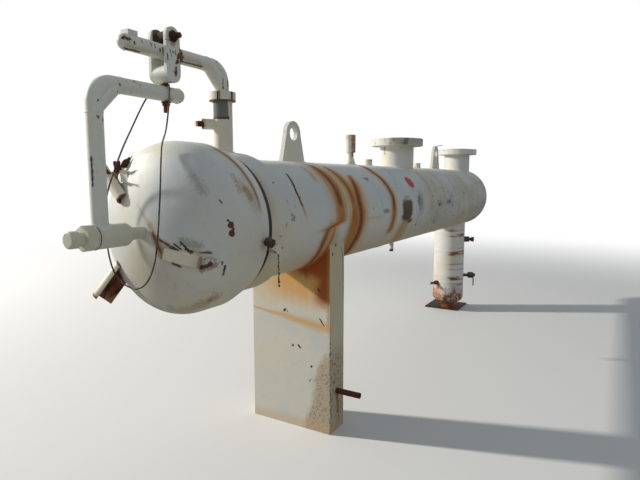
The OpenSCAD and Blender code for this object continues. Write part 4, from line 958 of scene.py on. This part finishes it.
def settle(name, bm, finish, body="vessel", smooth=40.0):
    """Turns a bmesh into a finished piece that rides on a body."""
    bmesh.ops.remove_doubles(bm, verts=bm.verts, dist=MERGE)
    bmesh.ops.recalc_face_normals(bm, faces=bm.faces)
    mesh = bpy.data.meshes.new(name)
    bm.to_mesh(mesh)
    bm.free()
    for polygon in mesh.polygons:
        polygon.use_smooth = True
    mesh.set_sharp_from_angle(angle=math.radians(smooth))
    mesh.materials.append(finish)
    piece = bpy.data.objects.new(name, mesh)
    scene.collection.objects.link(piece)
    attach(piece, body)
    return piece


def frame_of(direction):
    """The turn that takes Z to a direction."""
    turn = Vector((0, 0, 1)).rotation_difference(Vector(direction).normalized())
    return turn.to_matrix().to_4x4()


def spun(bm, profile, place, direction=(0, 0, 1), steps=48):
    """Spins a profile of (radius, height) points round the axis through place."""
    before = set(bm.verts)
    points = [bm.verts.new((radius, 0.0, height)) for radius, height in profile]
    edges = [bm.edges.new(pair) for pair in zip(points, points[1:])]
    bmesh.ops.spin(bm, geom=points + edges, cent=(0, 0, 0), axis=(0, 0, 1), steps=steps,
                   angle=2 * math.pi, use_merge=True)
    grown = [v for v in bm.verts if v not in before]
    bmesh.ops.remove_doubles(bm, verts=grown, dist=MERGE)
    grown = [v for v in grown if v.is_valid]
    bmesh.ops.transform(bm, matrix=Matrix.Translation(place) @ frame_of(direction), verts=grown)
    return grown


def ring_profile(radius, thick, sides=8):
    """A round bead's outline, closed, for a ring of that radius."""
    turns = [2 * math.pi * i / sides for i in range(sides)]
    points = [(radius + thick * math.cos(t), thick * math.sin(t)) for t in turns]
    return points + points[:1]


def weld_ring(bm, radius, thick, place, steps=96, seat=0.0, down=False):
    """A weld bead round an upright pipe. With a seat radius it follows the shell below it."""
    verts = spun(bm, ring_profile(radius, thick), place, steps=steps)
    for vert in verts:
        across = vert.co.y - place[1]
        if seat:
            drop = seat - math.sqrt(max(seat * seat - across * across, 0.0))
            vert.co.z += drop if down else -drop
    rng = random.Random(int(radius * 1e5))
    lobes = [rng.uniform(0.0, 2 * math.pi) for _ in range(3)]
    centre = Vector(place)
    for vert in verts:
        turn = math.atan2(vert.co.y - centre.y, vert.co.x - centre.x)
        ripple = sum(math.sin(turn * n + lobe) for n, lobe in zip((23, 37, 61), lobes)) / 3
        vert.co += (vert.co - centre).normalized() * thick * 0.14 * ripple


def swept(bm, path, radius, sides=8):
    """A round bar along a path of points: a circle, extruded from each point to the next."""
    path = [Vector(p) for p in path]
    last = len(path) - 1
    places = []
    for i, point in enumerate(path):
        thick = radius(i / last) if callable(radius) else radius
        turn = frame_of(path[min(i + 1, last)] - path[max(i - 1, 0)])
        places.append(Matrix.Translation(point) @ turn @ Matrix.Scale(thick, 4))
    made = bmesh.ops.create_circle(bm, cap_ends=True, segments=sides, radius=1.0, matrix=places[0])
    rim = list({edge for vert in made["verts"] for edge in vert.link_edges})
    for before, after in zip(places, places[1:]):
        grown = bmesh.ops.extrude_edge_only(bm, edges=rim)["geom"]
        verts = [v for v in grown if isinstance(v, bmesh.types.BMVert)]
        bmesh.ops.transform(bm, matrix=after @ before.inverted(), verts=verts)
        edges = [e for e in grown if isinstance(e, bmesh.types.BMEdge)]
        rim = [e for e in edges if all(v in verts for v in e.verts)]
    bmesh.ops.contextual_create(bm, geom=rim)


def smooth_path(points, steps):
    """Points along a smooth curve through the given ones, steps to a span."""
    points = [Vector(p) for p in points]
    last = len(points) - 1
    path = []
    for s in range(last):
        a, b, c, d = (points[min(max(i, 0), last)] for i in (s - 1, s, s + 1, s + 2))
        for k in range(steps):
            t = k / steps
            path.append(0.5 * ((2 * b) + (c - a) * t + (2 * a - 5 * b + 4 * c - d) * t * t
                               + (3 * b - 3 * c + d - a) * t ** 3))
    return path + [points[-1]]


def hex_bar(bm, across, length, place, direction, soften=0.002):
    """A hexagon bar or bolt head that starts at place and runs along a direction."""
    radius = across / math.sqrt(3)
    made = bmesh.ops.create_cone(bm, segments=6, radius1=radius, radius2=radius, depth=length,
                                 cap_ends=True)["verts"]
    edges = list({edge for vert in made for edge in vert.link_edges})
    rounded = bmesh.ops.bevel(bm, geom=edges, offset=soften, segments=2, profile=0.5,
                              affect="EDGES", material=-1)
    made = list({v for v in rounded["verts"]} | {v for v in made if v.is_valid})
    lift = Matrix.Translation((0, 0, length / 2))
    bmesh.ops.transform(bm, matrix=Matrix.Translation(place) @ frame_of(direction) @ lift,
                        verts=made)


def thread_profile(radius, length, pitch, depth):
    """Outline of a threaded stud as rings of crests and roots, closed to its axis."""
    points = [(0.0, 0.0), (radius - depth, 0.0)]
    count = int(length / pitch)
    for i in range(count):
        points += [(radius, (i + 0.5) * pitch), (radius - depth, (i + 1) * pitch)]
    return points + [(0.0, count * pitch)]


# ---------------------------------------------------------------- wire sling
SLING_D = 0.007
SLING_ROUTE = (
    (-0.960, -0.002, 1.830), (-0.966, -0.012, 1.830), (-0.980, -0.016, 1.830),
    (-0.988, -0.035, 1.815), (-0.996, -0.042, 1.780), (-1.008, -0.042, 1.700),
    (-1.024, -0.044, 1.640), (-1.052, -0.052, 1.588), (-1.086, -0.080, 1.526),
    (-1.124, -0.112, 1.420), (-1.142, -0.122, 1.335), (-1.152, -0.120, 1.240),
    (-1.150, -0.100, 1.150), (-1.142, -0.062, 1.082), (-1.130, -0.010, 1.034),
    (-1.124, 0.050, 1.012), (-1.130, 0.106, 1.024), (-1.146, 0.146, 1.072),
    (-1.156, 0.164, 1.150), (-1.160, 0.166, 1.240), (-1.160, 0.164, 1.330),
    (-1.158, 0.150, 1.400), (-1.152, 0.120, 1.470), (-1.144, 0.074, 1.560),
    (-1.110, 0.058, 1.640), (-1.046, 0.044, 1.760), (-1.000, 0.038, 1.812),
    (-0.982, 0.017, 1.830), (-0.966, 0.013, 1.830), (-0.960, 0.003, 1.830),
)


def wire_rope(path, diameter, strands=6, lay=0.045):
    """A rope's surface: a lobed ring that turns as it follows the path."""
    bm = bmesh.new()
    sides = strands * 3
    rings = []
    side = None
    travelled = 0.0
    for i, point in enumerate(path):
        tangent = (path[min(i + 1, len(path) - 1)] - path[max(i - 1, 0)]).normalized()
        side = tangent.orthogonal().normalized() if side is None else side
        side = (side - tangent * side.dot(tangent)).normalized()
        other = tangent.cross(side)
        travelled += (point - path[i - 1]).length if i else 0.0
        ring = []
        for k in range(sides):
            turn = 2 * math.pi * (k / sides + travelled / lay)
            radius = diameter / 2 * (1.0 if k % 3 == 0 else 0.90)
            out = side * math.cos(turn) + other * math.sin(turn)
            ring.append(bm.verts.new(point + out * radius))
        rings.append(ring)
    for first, second in zip(rings, rings[1:]):
        for k in range(sides):
            n = (k + 1) % sides
            bm.faces.new((first[k], first[n], second[n], second[k]))
    bm.faces.new(list(reversed(rings[0])))
    bm.faces.new(rings[-1])
    return bm


sling_path = smooth_path(SLING_ROUTE, 26)
sling_length = sum((b - a).length for a, b in zip(sling_path, sling_path[1:]))
sling = settle("sling_rope", wire_rope(sling_path, SLING_D), rope_wire, "hanger", 60.0)
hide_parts("wire_sling")


# ---------------------------------------------------------------- welds on the vessel
bm = bmesh.new()
for nozzle_x in NOZZLES:
    weld_ring(bm, NECK_R + 0.003, 0.009, (nozzle_x, 0, AXIS_H + SHELL_R), seat=SHELL_R)
settle("nozzle_foot_welds", bm, paint_nozzle)

bm = bmesh.new()
for nozzle_x in NOZZLES:
    spun(bm, ((NECK_R - 0.002, -0.010), (NECK_R + 0.0008, -0.008), (NECK_R + 0.0030, -0.0035),
              (NECK_R + 0.0070, 0.0008), (NECK_R - 0.002, 0.0008)),
         (nozzle_x, 0, NECK_TOP), steps=96)
settle("flange_hubs", bm, paint_nozzle)

bm = bmesh.new()
weld_ring(bm, BOOT_R + 0.003, 0.008, (BOOT_X, 0, AXIS_H - SHELL_R), seat=SHELL_R, down=True)
weld_ring(bm, BOOT_R, 0.0035, (BOOT_X, 0, 0.150))
settle("boot_welds", bm, paint_boot)

bm = bmesh.new()
for seam_x in SEAMS:
    spun(bm, ((SHELL_R - 0.002, -0.009), (SHELL_R + 0.0008, -0.0065), (SHELL_R + 0.0024, 0.0),
              (SHELL_R + 0.0008, 0.0065), (SHELL_R - 0.002, 0.009)),
         (seam_x, 0, AXIS_H), (1, 0, 0), 128)
settle("shell_seams", bm, paint_shell)

bm = bmesh.new()
for lug_x in LUGS:
    for side in (-1, 1):
        path = [(lug_x + 0.126 * t / 10, side * 0.0155, AXIS_H + SHELL_R - 0.001)
                for t in range(-10, 11)]
        swept(bm, path, lambda t: 0.0065 * (1.0 - (2 * t - 1) ** 8 * 0.8))
settle("lug_welds", bm, paint_fitting)

bm = bmesh.new()
reach = math.degrees(math.asin(0.262 / SHELL_R))
for side in (-1, 1):
    arc = [math.radians(a) for a in range(int(-reach), int(reach) + 1, 3)]
    path = [(side * (SADDLE_L / 2 + 0.003), (SHELL_R + 0.001) * math.sin(a),
             AXIS_H - (SHELL_R + 0.001) * math.cos(a)) for a in arc]
    swept(bm, path, 0.0075)
settle("saddle_welds", bm, paint_saddle)

bm = bmesh.new()
weld_ring(bm, POST_R + 0.002, 0.0065, (POST_X, 0, AXIS_H + RING_R), seat=RING_R)
settle("post_weld", bm, paint_pipe)

bm = bmesh.new()
for fitting_x, radius in ((VENT_X, 0.040), (COUPLINGS[0], 0.030), (COUPLINGS[1], 0.030)):
    weld_ring(bm, radius + 0.001, 0.005, (fitting_x, 0, AXIS_H + SHELL_R), seat=SHELL_R, steps=48)
settle("fitting_welds", bm, paint_vent)

# ---------------------------------------------------------------- welds on the davit
bm = bmesh.new()
weld_ring(bm, PIPE_R, PIPE_WELD, (POST_X, 0, 1.8545), steps=48)
for weld_x in (-0.7394, -1.1655):
    spun(bm, ring_profile(PIPE_R, PIPE_WELD), (weld_x, 0, ARM_Z), (1, 0, 0))
settle("arm_welds", bm, paint_pipe, "davit")

bm = bmesh.new()
weld_ring(bm, PIPE_R, PIPE_WELD, (HANGER_X, 0, 1.6855), steps=48)
for weld_x in (-1.2006, -0.9135):
    spun(bm, ring_profile(PIPE_R, PIPE_WELD), (weld_x, 0, HANGER_Z), (1, 0, 0))
weld_ring(bm, PIPE_R + 0.002, 0.0055, (HANGER_X, 0, AXIS_H + SLEEVE_R), seat=SLEEVE_R, steps=64)
settle("hanger_welds", bm, paint_pipe, "hanger")

# ---------------------------------------------------------------- outsides of the pipes' bends
def elbow(name, corner, way, body, radius=0.074, reach=0.1090):
    """A round bend over a mitred corner of a davit pipe; way is +1 where the pipe runs on to +X."""
    x, z = corner
    turns = [math.radians(5 * i) for i in range(19)]
    path = [(x, 0.0, z - reach)]
    path += [(x + way * radius * (1 - math.cos(t)), 0.0, z - radius * (1 - math.sin(t)))
             for t in turns]
    path.append((x + way * reach, 0.0, z))
    bm = bmesh.new()
    swept(bm, path, PIPE_R + 0.0004, 40)
    settle(name, bm, paint_pipe, body)


elbow("arm_elbow", (POST_X, ARM_Z), -1, "davit")
elbow("hanger_elbow", (HANGER_X, HANGER_Z), 1, "hanger")

# ---------------------------------------------------------------- torn ends of the brackets
def torn_plate(bm, corner, run, across, bend, thick, seed, cells=(9, 5)):
    """A torn strip of plate: it leaves corner along run, is as wide as across, and its far end
    curls by bend; its far and side edges are ragged."""
    rng = random.Random(seed)
    corner, run, across, bend = (Vector(v) for v in (corner, run, across, bend))
    normal = run.cross(across).normalized()
    sheet = bmesh.ops.create_grid(bm, x_segments=cells[0], y_segments=cells[1], size=0.5)["verts"]
    for vert in sheet:
        u, v = vert.co.x + 0.5, vert.co.y + 0.5
        ragged = rng.uniform(-0.22, 0.12) * (u > 0.99)
        ragged += rng.uniform(-0.04, 0.04) * (0.01 < u < 0.99)
        side = rng.uniform(-0.16, 0.08) * (v > 0.99) * u
        dent = normal * rng.uniform(-1, 1) * thick * 0.6 * u
        vert.co = corner + run * (u + ragged) + across * (v + side) + dent + bend * u * u
    faces = list({face for vert in sheet for face in vert.link_faces})
    bmesh.ops.solidify(bm, geom=faces, thickness=thick)


near_start, near_end = BRACKET_LINES[2]
near_line, near_level, near_slope = across_line(near_start, near_end)
bm = bmesh.new()
for offset, run, across, bend, thick, seed in (      # the first two along line, level and slope
        ((-0.006, -0.014, -0.026), (0.060, -0.004, 0.0),
         near_level * 0.026, -near_slope * 0.006, 0.004, 3),
        ((-0.030, 0.014, -0.002), (0.095, 0.018, -0.016),
         near_slope * 0.022, near_level * 0.010, 0.004, 5),
        ((-0.050, 0.010, -0.027), (0.105, 0.010, -0.004),
         near_level * 0.016, -near_slope * 0.010, 0.003, 8)):
    offset, run = (near_line * v[0] + near_level * v[1] + near_slope * v[2] for v in (offset, run))
    torn_plate(bm, near_end + offset, run, across, bend, thick, seed)
settle("near_bracket_tears", bm, paint_tear, "hanger")

lower_end = BRACKET_LINES[1][1]
bm = bmesh.new()
for corner, run, across, bend, seed, cells in (
        ((-1.070, 0.165, 1.488), (-0.030, -0.010, 0.040), (-0.004, 0.036, -0.010),
         (0.004, -0.010, 0.004), 11, (7, 6)),
        ((-1.045, 0.160, 1.505), (-0.004, -0.018, 0.036), (-0.026, 0.020, -0.010),
         (0.012, 0.0, 0.005), 12, (7, 6)),
        ((-1.092, 0.200, 1.470), (-0.034, -0.010, 0.024), (0.008, 0.030, -0.014),
         (-0.008, -0.008, 0.006), 13, (7, 6)),
        (lower_end + Vector((0.030, -0.030, 0.040)), (-0.026, 0.022, -0.046),
         (0.040, 0.030, 0.012), (0.014, 0.0, 0.0), 14, (9, 5)),
        (lower_end + Vector((0.060, -0.050, 0.030)), (-0.030, 0.028, -0.040),
         (0.020, -0.030, 0.026), (0.010, 0.004, 0.006), 15, (9, 5))):
    torn_plate(bm, corner, run, across, bend, 0.004, seed, cells)
settle("bracket_tears", bm, rust_torn, "hanger")

bm = bmesh.new()
torn_plate(bm, (-1.082, 0.118, 1.440), (0.014, 0.020, 0.062), (-0.004, 0.040, 0.006),
           (0.0, 0.010, 0.0), 0.005, 16, (8, 6))
settle("bracket_plate", bm, paint_plate, "hanger")

# ---------------------------------------------------------------- small parts on the davit
def washer(bm, outer, inner, thick, place, direction):
    """A flat washer with softened edges."""
    soft = min(0.0008, thick / 3)
    spun(bm, ((inner, 0.0), (outer - soft, 0.0), (outer, soft), (outer, thick - soft),
              (outer - soft, thick), (inner, thick), (inner, 0.0)), place, direction)


def stud(bm, radius, length, place, direction, pitch=0.0022):
    """The threaded end of a bolt, over its plain core."""
    spun(bm, thread_profile(radius, length, pitch, pitch * 0.45), place, direction, 24)


bm = bmesh.new()
washer(bm, 0.0225, 0.0168, 0.0045, (BOLT_X, -0.0504, ROLLER_Z), (0, -1, 0))
washer(bm, 0.0210, 0.0168, 0.0040, (BOLT_X, 0.0504, ROLLER_Z), (0, 1, 0))
stud(bm, 0.0112, 0.0250, (BOLT_X, -0.0655, ROLLER_Z), (0, -1, 0))
settle("roller_bolt_washers", bm, rust_bolt, "trolley")

bm = bmesh.new()
washer(bm, 0.0200, 0.0170, 0.0035, (BOLT_X, 0, HANGER_Z - PIPE_R - 0.0010), (0, 0, -1))
stud(bm, 0.0112, 0.0265, (BOLT_X, 0, HANGER_Z - PIPE_R - 0.0168), (0, 0, -1))
settle("swivel_bolt_thread", bm, rust_nut, "hanger")

bm = bmesh.new()
stud(bm, 0.0132, 0.026, LOCK_FROM + LOCK_WAY * 0.0960, LOCK_WAY)
settle("lock_bolt_thread", bm, rust_bolt, "vessel")

# painted shade: a near-black ring at the sleeve's front edge stands for the shade in the gap there
bm = bmesh.new()
spun(bm, ring_profile(SLEEVE_R + 0.0003, 0.0016), (SLEEVE_FRONT + 0.0002, 0, AXIS_H), (1, 0, 0))
settle("sleeve_gap", bm, gap_shade, "hanger")

# ---------------------------------------------------------------- the warning bolt's chain
CHAIN_TOP = 1.168
CHAIN_END = 0.985

bm = bmesh.new()
rng = random.Random(21)
height = CHAIN_TOP
while height > CHAIN_END:
    size = rng.uniform(0.0028, 0.0050) * (1.0 + 0.6 * (height < 1.03))
    made = bmesh.ops.create_icosphere(bm, subdivisions=2, radius=size)["verts"]
    bmesh.ops.scale(bm, vec=(1.0, 0.8, 1.35), verts=made)
    drop = CHAIN_TOP - height
    x = -0.7085 + rng.uniform(-0.0015, 0.0015) + drop * 0.02
    y = -0.352 - 0.010 * min(drop / 0.05, 1.0) + rng.uniform(-0.001, 0.001)
    bmesh.ops.translate(bm, vec=(x, y, height), verts=made)
    height -= size * rng.uniform(2.2, 2.9)
settle("warning_chain", bm, steel_chain, "vessel")

# ---------------------------------------------------------------- small parts on the shell and boot
bm = bmesh.new()
swept(bm, smooth_path(((3.230, -0.236, 0.380), (3.236, -0.244, 0.352), (3.238, -0.246, 0.315),
                       (3.238, -0.246, 0.262)), 6), 0.0060)
settle("boot_valve_handle", bm, steel_dark, "vessel")

bm = bmesh.new()
hex_bar(bm, 0.030, 0.020, (1.435, 0, 0.8752), (0, 0, -1))
settle("bottom_plug", bm, steel_dark, "vessel")

bm = bmesh.new()
swept(bm, smooth_path(((2.470, 0.010, 1.742), (2.500, -0.020, 1.768), (2.560, -0.020, 1.776),
                       (2.650, -0.030, 1.786)), 8), 0.004)
settle("lug_pin", bm, steel_pale, "vessel")

# ---------------------------------------------------------------- floor, backdrop and light
FLOOR_X = 0.5         # X of the floor's middle

floor_finish = Finish("studio_floor")
spread = floor_finish.node("ShaderNodeVectorMath", {"operation": "DISTANCE"},
                           {0: floor_finish.here, 1: (FLOOR_X, 0.0, 0.0)}, 1)
seen_floor = floor_finish.node("ShaderNodeLightPath", {}, {}, "Is Camera Ray")
floor_finish.close(floor_finish.mix(seen_floor, (0.37, 0.37, 0.355), (0.76, 0.76, 0.75)), 0.85)
floor_finish.shader.inputs["Specular IOR Level"].default_value = 0.2
glow = floor_finish.node("ShaderNodeEmission", {}, {"Color": (1.0, 1.0, 1.0), "Strength": 1.0})
far_off = floor_finish.step(spread, 4.5, 11.0) * seen_floor
plain = Value(floor_finish, floor_finish.shader.outputs[0])
floor_finish.link(floor_finish.mix_shader(far_off, plain, glow),
                  floor_finish.tree.nodes["Material Output"].inputs[0])

bm = bmesh.new()
bmesh.ops.create_circle(bm, cap_ends=True, segments=96, radius=60.0)
bmesh.ops.translate(bm, vec=(FLOOR_X, 0.0, -0.0005), verts=bm.verts)
floor_mesh = bpy.data.meshes.new("floor")
bm.to_mesh(floor_mesh)
bm.free()
floor_mesh.materials.append(floor_finish.material)
floor = bpy.data.objects.new("floor", floor_mesh)
scene.collection.objects.link(floor)

world = bpy.data.worlds.new("studio")
world.use_nodes = True
scene.world = world
sky = Tree(world.node_tree)
background = sky.tree.nodes["Background"]
background.inputs["Color"].default_value = (0.82, 0.91, 1.0, 1.0)
background.inputs["Strength"].default_value = 0.31
white = sky.node("ShaderNodeBackground", {}, {"Color": (1.0, 1.0, 1.0), "Strength": 1.0})
camera_ray, glossy_ray, through_ray = (
    sky.node("ShaderNodeLightPath", {}, {}, ray)
    for ray in ("Is Camera Ray", "Is Glossy Ray", "Is Transmission Ray"))
seen = camera_ray.over(glossy_ray).over(through_ray)
sky.link(sky.mix_shader(seen, Value(sky, background.outputs[0]), white),
         sky.tree.nodes["World Output"].inputs["Surface"])


def lamp(name, place, target, size, power, colour):
    """A square soft lamp that shines from place towards target."""
    data = bpy.data.lights.new(name, "AREA")
    data.shape = "SQUARE"
    data.size = size
    data.energy = power
    data.color = colour
    made = bpy.data.objects.new(name, data)
    made.location = place
    towards = Vector(target) - Vector(place)
    made.rotation_euler = towards.to_track_quat("-Z", "Y").to_euler()
    scene.collection.objects.link(made)


lamp("key_lamp", (-4.46, 13.5, 8.06), (0.4, 0.0, 1.0), 0.6, 2850.0, (1.0, 0.950, 0.87))
lamp("fill_lamp", (-1.5, -7.0, 4.0), (0.8, 0.0, 1.0), 5.0, 34.0, (0.93, 0.97, 1.0))
